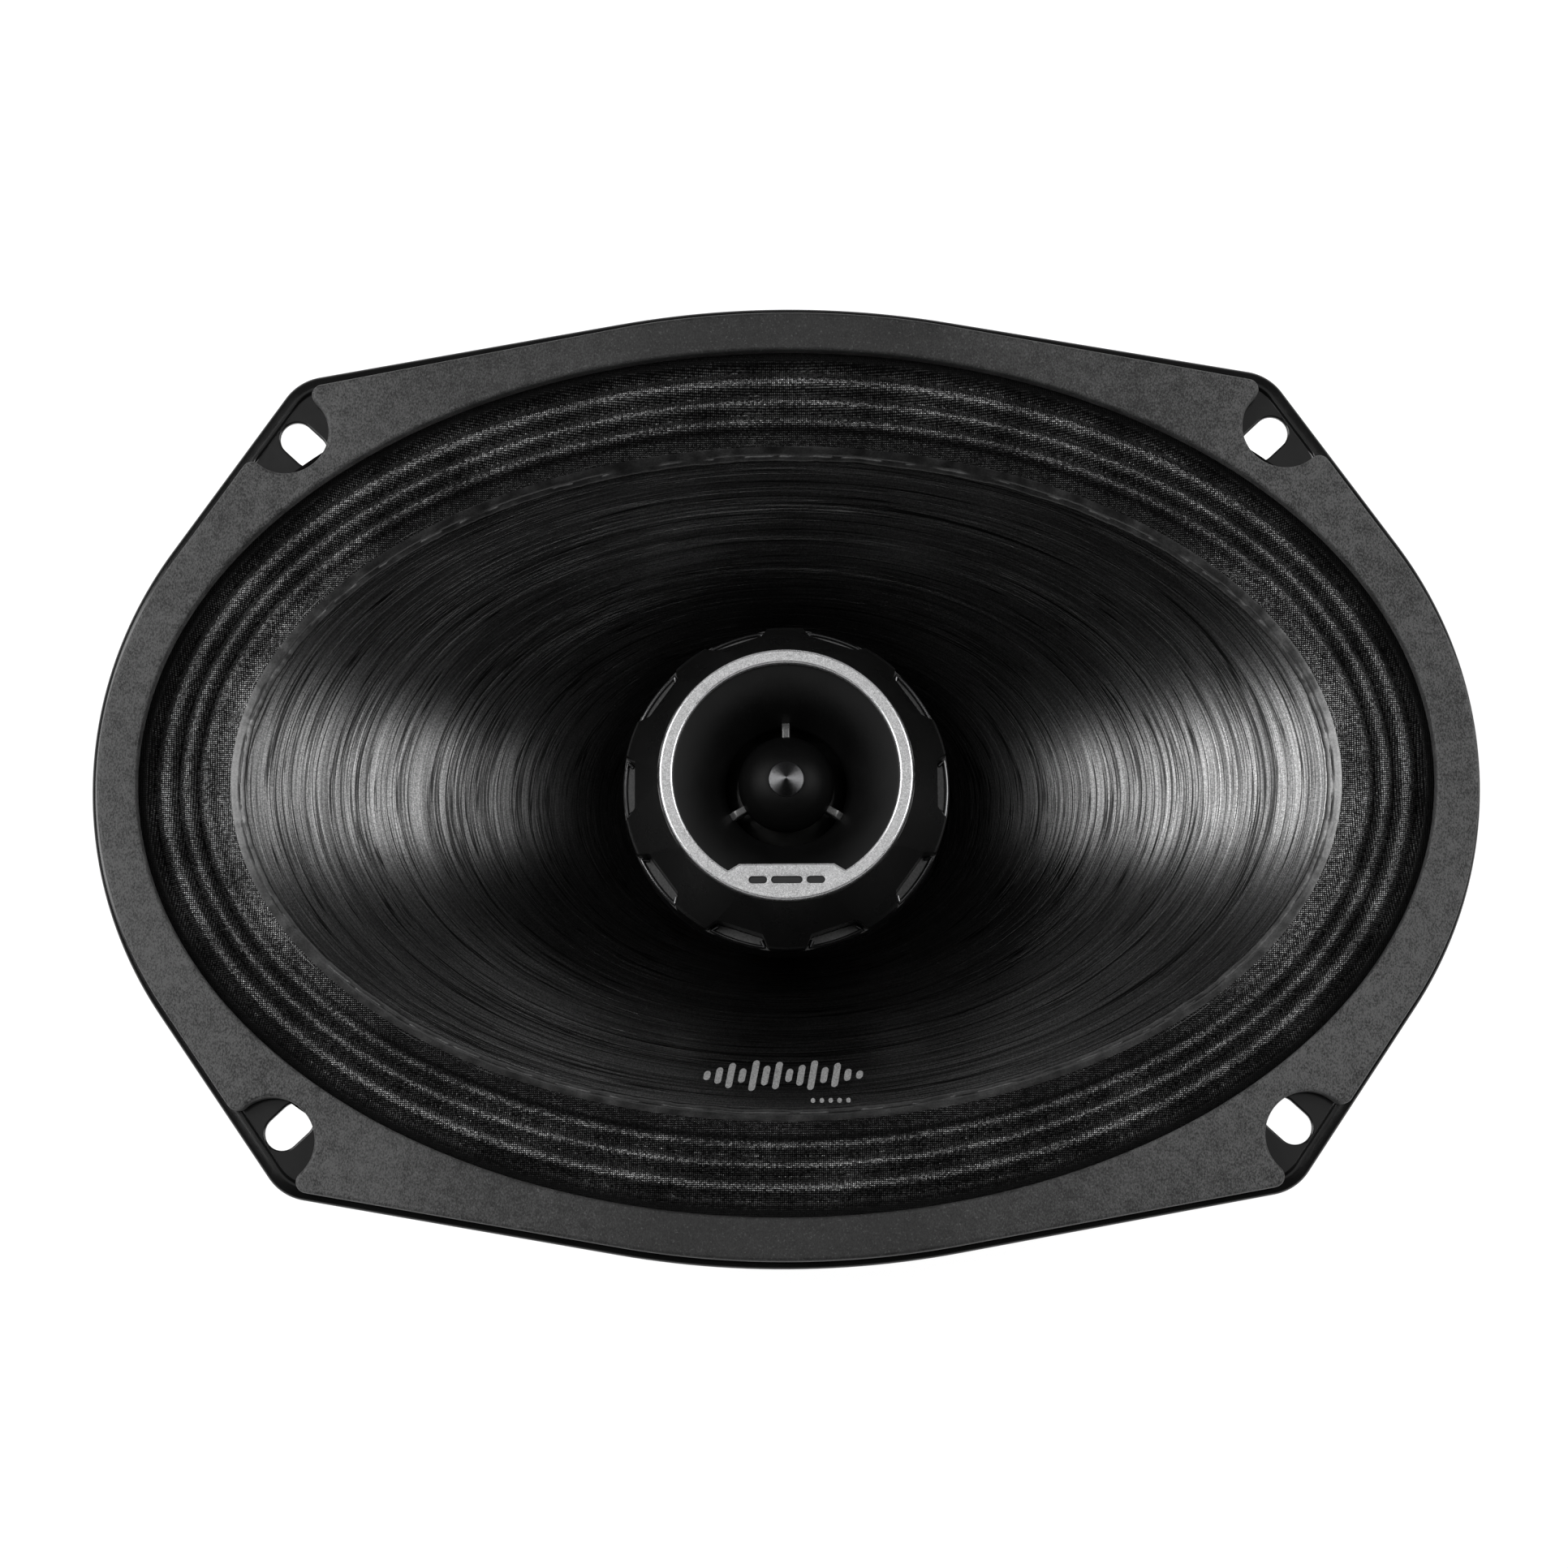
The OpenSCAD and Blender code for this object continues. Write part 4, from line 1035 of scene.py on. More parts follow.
def make_surround():
    s = Soup()
    n = 432
    mid = crom([(d, z) for d, z in SU], 7)
    top, bot = [], []
    for i, p in enumerate(mid):
        a, b = mid[max(i - 1, 0)], mid[min(i + 1, len(mid) - 1)]
        t = (b - a).normalized()
        nx, nz = -t.y, t.x
        top.append((p.x + nx * 0.24, p.y + nz * 0.24))
        bot.append((p.x - nx * 0.24, p.y - nz * 0.24))
    sec = top + bot[::-1]

    def ring(d, z):
        k = 1.0 + max(0.0, d - 16.4)
        a, b = 110.4 - d, 74.8 - d * (17.3 / 16.4 if d > 0 else 1.0)
        return [(a * math.cos(TAU * i / n), b * math.sin(TAU * i / n), z) for i in range(n)]

    s.rings([ring(d, z) for d, z in sec], closed=True)
    o = s.make("surround_roll", [M["woven_cloth"]], merge=0, sharp=60)
    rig.slot(o, "woven_cloth")
    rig.replaces(o, "surround")
    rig.blend(o, "frame", "cone_body", (0, 0.0748, 0), (0, 0.0575, 0))

    def inwards(x, y):
        # distance inwards from the gasket's oval, by bisection on the family of ovals
        lo, hi = np.full(len(x), -6.0), np.full(len(x), 17.5)
        for _ in range(40):
            m = (lo + hi) / 2
            a, b = 110.4 - m, 74.8 - m * np.where(m > 0, 17.3 / 16.4, 1.0)
            out = (x / a) ** 2 + (y / b) ** 2 > 1
            hi = np.where(out, m, hi)
            lo = np.where(out, lo, m)
        return (lo + hi) / 2

    weights(o, lambda x, y, z: (inwards(x, y) - 1.6) / (13.4 - 1.6))
    co = np.empty(len(o.data.vertices) * 3)
    o.data.vertices.foreach_get("co", co)
    co = co.reshape(-1, 3) / MM
    a = o.data.attributes.new("lip", "FLOAT", "POINT")
    d = inwards(co[:, 0], co[:, 1])
    # painted shade: the cloth is darker in the groove beside the gasket and on the flat inner edge, except towards the
    # ends at ±X where the side lights catch it
    inner_edge_painted_shade = np.clip((d - 11.0) / 1.5, 0, 1) * (1 - np.clip((np.abs(co[:, 0]) - 66) / 24, 0, 1))
    a.data.foreach_set("value", (np.clip((d - 0.9) / 1.2, 0.12, 1.0) * (1 - 0.62 * inner_edge_painted_shade)).astype(np.float32))
    return o


make_surround()


# ---------------------------------------------------------------- cone
NECK_R, CONE_Z, DEPTH = 19.4, -1.6, 37.2
cone_h = lambda s: CONE_Z - DEPTH * (0.8 * s + 0.2 * s * s)
SLOPE_MM = 86.0


def make_cone():
    n, rows = 480, 130
    s = Soup()
    top = [(95.6, 59.1, CONE_Z + 0.12, 0.0), (95.55, 59.05, CONE_Z + 0.6, 0.0), (95.3, 58.8, CONE_Z + 0.84, 0.0), (94.9, 58.4, CONE_Z + 0.86, 0.0)]
    lip = 0.016
    for j in range(rows + 1):
        v = lip + (1 - lip) * j / rows
        top.append((95.6 + (NECK_R - 95.6) * v, 59.1 + (NECK_R - 59.1) * v, cone_h(v) + 0.9, v))
    bot = [(NECK_R + 0.05, NECK_R + 0.05, cone_h(1) + 0.05, 1.0)]
    for j in range(40, -1, -1):
        v = lip + (1 - lip) * j / 40
        bot.append((95.6 + (NECK_R - 95.6) * v, 59.1 + (NECK_R - 59.1) * v, cone_h(v), v))
    bot.append((94.2, 57.7, CONE_Z, 0.01))
    bot.append((95.4, 58.9, CONE_Z, 0.0))
    sec = top + bot
    s.rings([[(a * math.cos(TAU * i / n), b * math.sin(TAU * i / n), z) for i in range(n)] for a, b, z, v in sec], closed=True)
    o = s.make("cone_shell", [M["cone_paper"]], merge=0, sharp=60)
    me = o.data
    st = me.attributes.new("streak", "FLOAT_VECTOR", "POINT")
    vals = []
    for a, b, z, v in sec:
        vals += [(math.cos(TAU * i / n), math.sin(TAU * i / n), v * SLOPE_MM) for i in range(n)]
    st.data.foreach_set("vector", np.array(vals, np.float32).ravel())
    uv = me.uv_layers.new(name="UVMap")
    for p in me.polygons:
        for li in p.loop_indices:
            vi = me.loops[li].vertex_index
            j, i = divmod(vi, n)
            u = i / n
            if i == 0 and any(me.loops[k].vertex_index % n == n - 1 for k in p.loop_indices):
                u = 1.0
            uv.data[li].uv = (sec[j][3], u * 4.0)
    return attach(o, "cone_body", "cone_paper", ["cone"])


make_cone()


def make_glue():
    """Smooth band of glue from the cloth's inner cut edge down to the cone, uneven as a hand-laid bead is."""
    s = Soup()
    n = 1080
    rings = []
    for i in range(n):
        t = TAU * i / n
        P = Vector((math.cos(t) * 3, math.sin(t) * 3, 0))
        h = mnoise.noise(P * 3 + Vector((0, 0, 2))) + 0.5 * mnoise.noise(P * 11 + Vector((0, 0, 5)))
        g = mnoise.noise(P * 6 + Vector((0, 0, 9))) + 0.6 * mnoise.noise(P * 25 + Vector((0, 0, 4)))
        o, q, w = 0.16 * h + 0.05 * g, 0.1 * g, 0.05 * mnoise.noise(P * 40 + Vector((0, 0, 7)))
        # (distance outwards from the oval 93.6 x 57.2, height)
        k = max(0.0, min(1.0, 0.55 + 1.4 * mnoise.noise(P * 5 + Vector((0, 0, 3)))))
        sec = [(2.0 + o, -0.62), (1.95 + o, -0.26), (1.84 + o, -0.14), (1.62 + o, -0.14), (1.35 + o, -0.26), (0.95 + 0.5 * o, -0.5), (0.5 + q, -0.79), (0.17 + q, -0.98 + 0.3 * w), (0.11 + q, -1.03 - 0.13 * k),
               (0.06 + q, -1.06 - 0.13 * k), (0.0 + q, -1.09 + 0.3 * w), (-0.3 + 1.3 * q, -1.28), (-0.62 + 1.6 * q, -1.5), (-0.8 + 1.6 * q, -1.7), (-0.75 + 1.6 * q, -2.1), (2.0 + o, -1.5)]
        a, b = 93.6, 57.2
        nx, ny = math.cos(t) / a, math.sin(t) / b
        ln = math.hypot(nx, ny)
        nx, ny = nx / ln, ny / ln
        rings.append([(a * math.cos(t) + nx * d, b * math.sin(t) + ny * d, z) for d, z in sec])
    s.rings(rings, closed=True)
    return attach(s.make("edge_glue", [M["glue"]], merge=0, sharp=70), "cone_body", "cone_paper")


make_glue()


def make_mark():
    """A generic level-meter mark printed on the cone near its lower edge."""
    s = Soup()

    def surf(x, y):
        # slope parameter of the oval through (x, y)
        lo, hi = 0.0, 1.0
        for _ in range(40):
            v = (lo + hi) / 2
            a, b = 95.6 + (NECK_R - 95.6) * v, 59.1 + (NECK_R - 59.1) * v
            if (x / a) ** 2 + (y / b) ** 2 > 1:
                hi = v
            else:
                lo = v
        return cone_h((lo + hi) / 2) + 0.9

    def capsule(cx, cy, w, h, lean):
        r = w / 2
        pts = [(cx + p[0], cy + p[1] + h / 2 - r) for p in arc(0, 0, r, 0, 180, 8)] + [(cx + p[0], cy + p[1] - h / 2 + r) for p in arc(0, 0, r, 180, 360, 8)]
        return [(x + (y - cy) * lean, y) for x, y in pts]

    hs = [1.7, 3.0, 4.6, 2.6, 5.6, 3.6, 5.0, 2.4, 3.8, 5.4, 2.9, 4.4, 2.2, 1.5]
    loops = [capsule(-13.8 + 2.0 * i, -50.3, 1.15, h, 0.18) for i, h in enumerate(hs)]
    loops += [capsule(4.2 + 1.5 * i, -54.9, 0.75, 0.9, 0.0) for i in range(5)]
    for lp in loops:
        ext = []
        pts, tris = cdt([lp], ext)
        s.add([(x, y, surf(x, y) + 0.075) for x, y in pts], tris)
        s.rings([[(x, y, surf(x, y) + 0.075) for x, y in lp], [(x, y, surf(x, y) - 0.02) for x, y in lp]])
    return attach(s.make("cone_mark", [M["mark"]], merge=0.002, sharp=50), "cone_body", "silver_trim")


make_mark()


# ---------------------------------------------------------------- spider
def make_spider():
    s = Soup()
    n = 240
    mid = [(19.8, -45.55), (20.6, -45.55)] + [(21.5 + i * 15.5 / 72, -45.55 + 1.1 * sind((i / 72) * 360 * 4.5)) for i in range(73)] + [(38.2, -45.55), (42, -45.55), (46, -45.55)]
    mid = crom(mid, 2)
    top, bot = [], []
    for i, p in enumerate(mid):
        a, b = mid[max(i - 1, 0)], mid[min(i + 1, len(mid) - 1)]
        t = (b - a).normalized()
        top.append((p.x - t.y * 0.23, p.y + t.x * 0.23))
        bot.append((p.x + t.y * 0.23, p.y - t.x * 0.23))
    lathe(s, top + bot[::-1], n, closed=True)
    o = s.make("spider_disc", [M["spider_cloth"]], merge=0, sharp=60)
    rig.slot(o, "spider_cloth")
    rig.replaces(o, "spider")
    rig.blend(o, "frame", "cone_body", (0.037, 0, 0), (0.0215, 0, 0))
    weights(o, lambda x, y, z: (37.0 - np.hypot(x, y)) / (37.0 - 21.5))
    return o


make_spider()


# ---------------------------------------------------------------- wires
def tube(soup, path, radius, sides=12, lobes=0, pitch=3.0, depth=0.25, mi=0, caps=True):
    """Sweeps a round or stranded section along points; radius may be a function of the fraction along."""
    P = [Vector(p) for p in path]
    n = len(P)
    T = [(P[min(i + 1, n - 1)] - P[max(i - 1, 0)]).normalized() for i in range(n)]
    u = T[0].cross(Vector((0.31, 0.17, 0.93))).normalized()
    rings = []
    dist = 0.0
    for i in range(n):
        if i:
            q = T[i - 1].rotation_difference(T[i])
            u = (q @ u).normalized()
            dist += (P[i] - P[i - 1]).length
        u = (u - T[i] * u.dot(T[i])).normalized()
        v = T[i].cross(u)
        r0 = radius(i / (n - 1)) if callable(radius) else radius
        ring = []
        for k in range(sides):
            a = TAU * k / sides
            r = r0
            if lobes:
                r = r0 * (1 - depth + depth * abs(math.cos(lobes * (a - TAU * dist / pitch) / 2)))
            ring.append(P[i] + u * (r * math.cos(a)) + v * (r * math.sin(a)))
        rings.append(ring)
    soup.rings(rings, mi=mi)
    if caps:
        for ring, p in ((rings[0], P[0]), (rings[-1], P[-1])):
            soup.add(list(ring) + [p], [(k, (k + 1) % sides, sides) for k in range(sides)], mi)
    return rings


def resample(path, step):
    P = [Vector(p) for p in path]
    d = [0.0]
    for i in range(1, len(P)):
        d.append(d[-1] + (P[i] - P[i - 1]).length)
    n = max(2, int(d[-1] / step))
    X = np.array([tuple(p) for p in P])
    q = np.linspace(0, d[-1], n + 1)
    return [Vector([float(np.interp(x, d, X[:, k])) for k in range(3)]) for x in q]


TINSEL = [(6.2, -70.4, -20.6), (9.5, -71.2, -19.6), (13.6, -69.2, -18.6), (15.6, -64, -19.6), (15.8, -57, -24), (14.8, -49, -30), (13, -41, -34.6),
          (11, -34, -35.6), (9.5, -29.6, -34.4), (9, -28, -32.7)]


def make_tinsel():
    s = Soup()
    for m in (1, -1):
        # the first two points take the braid down into its solder joint on the blade
        path = resample(crom([(m * x, y, z) for x, y, z in [(6.15, -68.55, -20.3), (6.15, -69.5, -20.62)] + TINSEL], 12), 0.35)
        tube(s, path, 0.55, sides=15, lobes=5, pitch=3.4, depth=0.3)
    o = s.make("tinsel_braids", [M["braid"]], merge=0.002, sharp=75)
    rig.slot(o, "braid")
    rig.replaces(o, "tinsel_leads")
    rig.blend(o, "frame", "cone_body", (0, -0.064, 0), (0, -0.028, 0))
    weights(o, lambda x, y, z: (y + 66.0) / (66.0 - 30.0))
    return o


make_tinsel()

CAP_Y, CAP_Z = -58.0, -48.0
TW_LEAD = [(0, -18.2, -16.4), (0, -18.2, -22), (0, -17, -27.4), (0, -13.5, -32), (0, -8.7, -37.4), (0, -4.6, -42.3), (0, -1.3, -47), (0, 0, -52), (0, 0, -66),
           (0, 0, -79.5), (0, -0.9, -83), (0, -4, -84.72), (0, -12, -84.72), (0, -30, -84.72), (0, -43.6, -84.7), (0, -46.9, -82.9), (0, -50.1, -79), (0, -50.9, -76),
           (0, -50.9, -68), (0, -50.9, -61), (0, -50.9, -58.4), (-2, -53.2, -56.7), (-8, -56.6, -56.3), (-12.6, -57.8, -55.4), (-15.4, -58, -52.8), (-16, -58, -49.4)]


def make_tweeter_leads():
    s = Soup()
    mid = resample(crom(TW_LEAD, 10), 0.5)
    n = len(mid)
    # two insulated cores twisted together
    T = [(mid[min(i + 1, n - 1)] - mid[max(i - 1, 0)]).normalized() for i in range(n)]
    u = T[0].cross(Vector((1, 0.2, 0.1))).normalized()
    cores = ([], [])
    for i in range(n):
        if i:
            u = (T[i - 1].rotation_difference(T[i]) @ u).normalized()
        u = (u - T[i] * u.dot(T[i])).normalized()
        v = T[i].cross(u)
        a = TAU * i * 0.5 / 7.0
        off = u * math.cos(a) + v * math.sin(a)
        cores[0].append(mid[i] + off * 0.32)
        cores[1].append(mid[i] - off * 0.32)
    for c in cores:
        tube(s, c, 0.325, sides=10)
    return attach(s.make("tweeter_lead_pair", [M["lead_sleeve"]], merge=0, sharp=60), "frame", "lead_sleeve", ["tweeter_leads"])


make_tweeter_leads()


def make_capacitor():
    s = Soup()
    r, e = 6.2, 5.6
    prof = [(0.0, -13.0), (1.2, -13.0), (4.6, -12.95), (5.3, -12.8), (5.6, -12.45), (5.62, -12.2), (5.9, -12.17), (6.12, -12.0), (6.2, -11.7),
            (6.2, -9.2), (6.12, -9.0), (6.2, -8.8), (6.2, 8.8), (6.12, 9.0), (6.2, 9.2), (6.2, 11.7), (6.12, 12.0), (5.9, 12.17), (5.62, 12.2), (5.6, 12.45), (5.3, 12.8), (4.6, 12.95), (1.2, 13.0), (0.0, 13.0)]
    n = 72
    rings = [[(z, CAP_Y + rr * math.cos(TAU * i / n), CAP_Z + rr * math.sin(TAU * i / n)) for i in range(n)] for rr, z in prof]
    mi = [1 if abs(prof[j][1] + prof[j + 1][1]) / 2 > 12.15 else 0 for j in range(len(prof) - 1)]
    s.rings(rings, mi=mi)
    return attach(s.make("capacitor_body", [M["cap_film"], M["epoxy"]], merge=0.002, sharp=50), "frame", "cap_film", ["crossover_capacitor"])


make_capacitor()


def make_cap_leads():
    s = Soup()
    a = [(13, CAP_Y, CAP_Z), (15.2, CAP_Y, CAP_Z + 0.4), (16.6, -58.8, -43.4), (14.6, -61.2, -35.2), (10.8, -65.2, -28.6), (7.6, -69, -23.6), (7.35, -69.05, -22.1), (7.0, -68.4, -20.75)]
    b = [(-13, CAP_Y, CAP_Z), (-14.6, CAP_Y, CAP_Z - 0.2), (-15.6, CAP_Y, CAP_Z - 1.3)]
    tube(s, resample(crom(a, 10), 0.5), 0.4, sides=14)
    tube(s, resample(crom(b, 8), 0.25), 0.4, sides=14)
    return attach(s.make("capacitor_wires", [M["nickel"]], merge=0.001, sharp=60), "frame", "nickel", ["capacitor_leads"])


make_cap_leads()


# ---------------------------------------------------------------- terminals on the leg at -Y
LEG = Matrix.Translation((0, -65.2, -18.85)) @ Matrix.Rotation(math.radians(125.1), 4, "X")


def plate(soup, loop, holes, z0, z1, bev, mi=0, xf=None):
    """A flat plate with softened edges: loop(o) and each hole(o) give outlines moved into the metal by o."""
    start = len(soup.v)
    for f in [loop] + holes:
        soup.rings([at(f(o), z) for o, z in ((bev * 1.4, z0), (bev, z0), (bev * 0.3, z0 + bev * 0.3), (0, z0 + bev), (0, z1 - bev), (bev * 0.3, z1 - bev * 0.3), (bev, z1), (bev * 1.4, z1))], mi=mi)
    soup.fill([loop(bev * 1.4)] + [h(bev * 1.4) for h in holes], z1, mi=mi)
    soup.fill([loop(bev * 1.4)] + [h(bev * 1.4) for h in holes], z0, mi=mi, flip=True)
    if xf is not None:
        for i in range(start, len(soup.v)):
            soup.v[i] = tuple(xf @ Vector(soup.v[i]))


def rrect(x0, y0, x1, y1, r, seg=6):
    def f(o):
        a, b, c, d, q = x0 + o, y0 + o, x1 - o, y1 - o, max(r - o, 0.02)
        return arc(c - q, b + q, q, -90, 0, seg) + arc(c - q, d - q, q, 0, 90, seg) + arc(a + q, d - q, q, 90, 180, seg) + arc(a + q, b + q, q, 180, 270, seg)
    return f


def hole(cx, cy, r, n=28):
    return lambda o: circle(r + o, n, cx, cy)


def make_board():
    s = Soup()
    holes = [hole(x, 5.5, 1.5) for x in (-7.5, 7.5)] + [hole(x, -2, 1.2) for x in (-5.5, 5.5)]
    plate(s, rrect(-11, -8.5, 11, 8.5, 1.6), holes, 0.9, 2.5, 0.14, xf=LEG)
    return attach(s.make("terminal_strip", [M["phenolic"]], merge=0.001, sharp=35), "frame", "phenolic", ["terminal_board"])


make_board()


def make_blade(name, x, w, mat, node):
    s = Soup()

    def f(o):
        h = w / 2 - o
        tip, sh = -17 + o, -15.4
        return [(x - h, 1.5 - o), (x - h, sh), (x - h * 0.86, -16.3), (x - h * 0.62, tip), (x + h * 0.62, tip), (x + h * 0.86, -16.3), (x + h, sh), (x + h, 1.5 - o)]

    def shape(o):
        pts = f(o)
        return pts if sum(p[0] * q[1] - p[1] * q[0] for p, q in zip(pts, pts[1:] + pts[:1])) > 0 else pts[::-1]

    plate(s, shape, [hole(x, -2, 1.2), hole(x, -13.5, 0.9)], 2.5, 3.3, 0.1, xf=LEG)
    return attach(s.make(name, [mat], merge=0.001, sharp=35), "frame", SLOT_OF[node], [node])


make_blade("blade_positive", 5.5, 6.3, M["gold_plate"], "terminal_positive")
make_blade("blade_negative", -5.5, 4.8, M["nickel"], "terminal_negative")


# ---------------------------------------------------------------- magnet boot
def make_boot():
    s = Soup()
    core = [(47.2, -59.0), (51.5, -59.0), (52.35, -60.6), (52.35, -64.2), (51.95, -64.7), (51.95, -66.2), (52.4, -66.7), (52.4, -79.2), (50.6, -83.2), (47.4, -85.75), (45.0, -86.0),
            (14.2, -86.0), (13.0, -85.2), (13.0, -84.05), (45.0, -84.05), (49.9, -78.1), (50.0, -60.1), (47.2, -60.1)]
    rad = [0.3, 0.55, 0.9, 0.25, 0.2, 0.2, 0.25, 2.6, 2.4, 1.6, 0.8, 0.7, 0.4, 0.1, 0.6, 0.5, 0.1, 0.1]
    lathe(s, rounded(core, rad, 6), 288, closed=True)
    return attach(s.make("boot_cover", [M["boot_rubber"]], merge=0, sharp=45), "frame", "boot_rubber", ["magnet_boot"])


make_boot()


# ---------------------------------------------------------------- tweeter
def make_housing():
    """Tweeter shell as a stack of outlines: a cone with ten soft facets and ten notches down to a ledge."""
    s = Soup()
    n_c, seg, n_a = 5, 4, 10
    side = Vector((3.3, 3.0)).normalized()

    def wall_r(z):
        if z > -9.3:
            return 21.9 + (2.3 - z) * 6.2 / 11.6
        return 28.1 + 0.4 * math.sin(min(1.0, (-9.3 - z) / 0.6) * math.pi / 2)

    def half(z):
        """Outline from the middle of a notch to the middle of a blade."""
        r = wall_r(z)
        if z >= -6.34:
            d = min(r - 1e-4, 26.2 - (z + 6.34) / 2.02)
            w = math.sqrt(r * r - d * d)
            b = math.atan2(w, d)
            e = min(0.5, 0.3 * w)
            pts = [(d, (w - e) * i / n_c) for i in range(n_c)] + [(d, w - e + e * i / seg) for i in range(seg + 1)]
            g = 0.5 / r
            pts += [(r * math.cos(b + g * (i + 0.5) / (seg + 0.5)), r * math.sin(b + g * (i + 0.5) / (seg + 0.5))) for i in range(seg + 1)]
            b += g
        else:
            p1 = Vector((26.2, 4.1))
            k = p1.dot(side)
            t = -k + math.sqrt(k * k - p1.dot(p1) + r * r)
            p2 = p1 + side * t
            g = 1.2 / r
            b = math.atan2(p2.y, p2.x) + g
            q = Vector((r * math.cos(b), r * math.sin(b)))
            f = min(0.32, 0.42 * t)
            u = (q - p2).normalized()
            a1, a2 = p1 - Vector((0, f)), p1 + side * f
            b1, b2 = p2 - side * f, p2 + u * f
            bez = lambda x, y, w, v: x * (1 - v) ** 2 + y * 2 * v * (1 - v) + w * v * v
            pts = [(26.2, (4.1 - f) * i / n_c) for i in range(n_c)]
            pts += [tuple(bez(a1, p1, a2, i / seg)) for i in range(seg + 1)] + [tuple(bez(b1, p2, b2, i / seg)) for i in range(seg + 1)]
        e = TAU / 20
        return pts + [(r * math.cos(b + (e - b) * i / n_a), r * math.sin(b + (e - b) * i / n_a)) for i in range(1, n_a + 1)]

    def whole(h):
        out = []
        for k in range(10):
            a = TAU * k / 10
            c, sn = math.cos(a), math.sin(a)
            sec = [(x, -y) for x, y in reversed(h[1:-1])] + h
            out += [(x * c - y * sn, x * sn + y * c) for x, y in sec]
        return out

    base = half(-12.0)
    m = len(base)
    b2 = math.atan2(base[n_c + 2 * seg + 1][1], base[n_c + 2 * seg + 1][0])
    nn = n_c + 2 * seg + 2

    def ring_half(r):
        """Circle of radius r with points opposite those of the notch outline."""
        return [(r * math.cos(b2 * i / (nn - 1)), r * math.sin(b2 * i / (nn - 1))) if i < nn else (r * math.cos(math.atan2(base[i][1], base[i][0])), r * math.sin(math.atan2(base[i][1], base[i][0]))) for i in range(m)]

    def ledge(q, z, r=28.5):
        c = ring_half(r)
        return at(whole([(p[0] + (g[0] - p[0]) * q, p[1] + (g[1] - p[1]) * q) if i < nn else p for i, (p, g) in enumerate(zip(base, c))]), z)

    rings = [at(whole(ring_half(20.7)), -1.2), at(whole(ring_half(20.7)), 0.9), at(whole(ring_half(21.55)), 0.9), at(whole(ring_half(21.55)), 2.3), at(whole(ring_half(21.8)), 2.3)]
    levels = [2.22, 1.6, 0.6, -0.4, -1.4, -2.4, -3.4, -4.4, -5.3, -5.9, -6.2, -6.34, -6.37, -6.5, -6.8, -7.2, -7.8, -8.4, -8.9, -9.3, -9.4, -9.5, -9.6, -9.75, -9.9, -10.6, -11.4, -11.8]
    rings += [at(whole(half(z)), z) for z in levels]
    mi = [0] * len(rings)
    # mi 1 gives the notch floors the lighter ledge plastic: painted light for the overhead light they reflect
    rings += [ledge(0.0, -11.95), ledge(0.04, -12.0)]
    mi += [0, 1]
    rings += [ledge(q, -12.0) for q in (0.3, 0.6)]
    mi += [1, 1]
    rings += [ledge(0.9, -12.0), ledge(0.95, -12.02), ledge(0.985, -12.09), ledge(1.0, -12.25)]
    mi += [0, 0, 0, 0]
    rings += [at(whole(ring_half(28.5)), z) for z in (-12.6, -19.2)] + [at(whole(ring_half(28.4)), -19.42), at(whole(ring_half(28.2)), -19.5), at(whole(ring_half(25.0)), -19.5), at(whole(ring_half(25.0)), -10.8)]
    mi += [0] * 6
    s.rings(rings + [rings[0]], mi=mi)
    # raised bead round each ledge: up one side, along the rim and down the other side
    for k in range(10):
        a = TAU * k / 10
        p1 = Vector((26.2, 4.1)) + Vector((0.5, -0.12))
        k0 = p1.dot(side)
        t = -k0 + math.sqrt(k0 * k0 - p1.dot(p1) + 28.05 ** 2)
        p2 = p1 + side * t
        e = math.degrees(math.atan2(p2.y, p2.x))
        path = [tuple(p1 + side * t * i / 5) for i in range(5)] + arc(0, 0, 28.05, e, -e, 20) + [(p1.x + side.x * t * i / 5, -(p1.y + side.y * t * i / 5)) for i in range(4, -1, -1)]
        path = [Vector((x * math.cos(a) - y * math.sin(a), x * math.sin(a) + y * math.cos(a), -12.0)) for x, y in path]
        tube(s, path, 0.36, sides=14, mi=2)
    o = s.make("tweeter_shell", [M["black_plastic"], M["ledge"], M["ledge_edge"]], merge=0.002, sharp=24)
    return attach(o, "frame", "black_plastic", ["tweeter_housing"])


make_housing()


def flare(s):
    return (10.6 + 8.7 * (0.55 * s + 0.45 * s * s), -9.5 + 11.8 * s)


def make_horn():
    s = Soup()
    prof = [flare(i / 60) for i in range(61)]
    prof[-1:] = [(19.22, 2.2), (19.35, 2.3)]
    prof += [(21.45, 2.3), (21.5, 2.25), (21.5, 0.9), (20.6, 0.9), (15.5, -7.9), (18.5, -7.9), (18.5, -9.5), (10.75, -9.5)]
    lathe(s, prof, 192, closed=True)
    for k in range(3):
        a = math.radians(30 + 120 * k)
        cx, cy = 21.3 * math.cos(a), 21.3 * math.sin(a)
        ring = lambda r, z: at(circle(r, 40, cx, cy), z)
        s.rings([ring(1.1, -19.4), ring(2.3, -19.4), ring(2.5, -19.2), ring(2.5, -8.6), ring(2.3, -8.4), ring(0.05, -8.4)])
        s.rings([ring(1.1, -19.4), ring(1.1, -10.2), ring(0.05, -10.0)])
        box = []
        for z in (-9.3, -7.9):
            for x, y in ((16.2, -1.2), (20, -1.2), (20, 1.2), (16.2, 1.2)):
                box.append((x * math.cos(a) - y * math.sin(a), x * math.sin(a) + y * math.cos(a), z))
        s.add(box, [(3, 2, 1, 0), (4, 5, 6, 7), (0, 1, 5, 4), (1, 2, 6, 5), (2, 3, 7, 6), (3, 0, 4, 7)])
    return attach(s.make("horn_shell", [M["horn"]], merge=0.001, sharp=35), "frame", "black_plastic", ["horn_flare"])


make_horn()


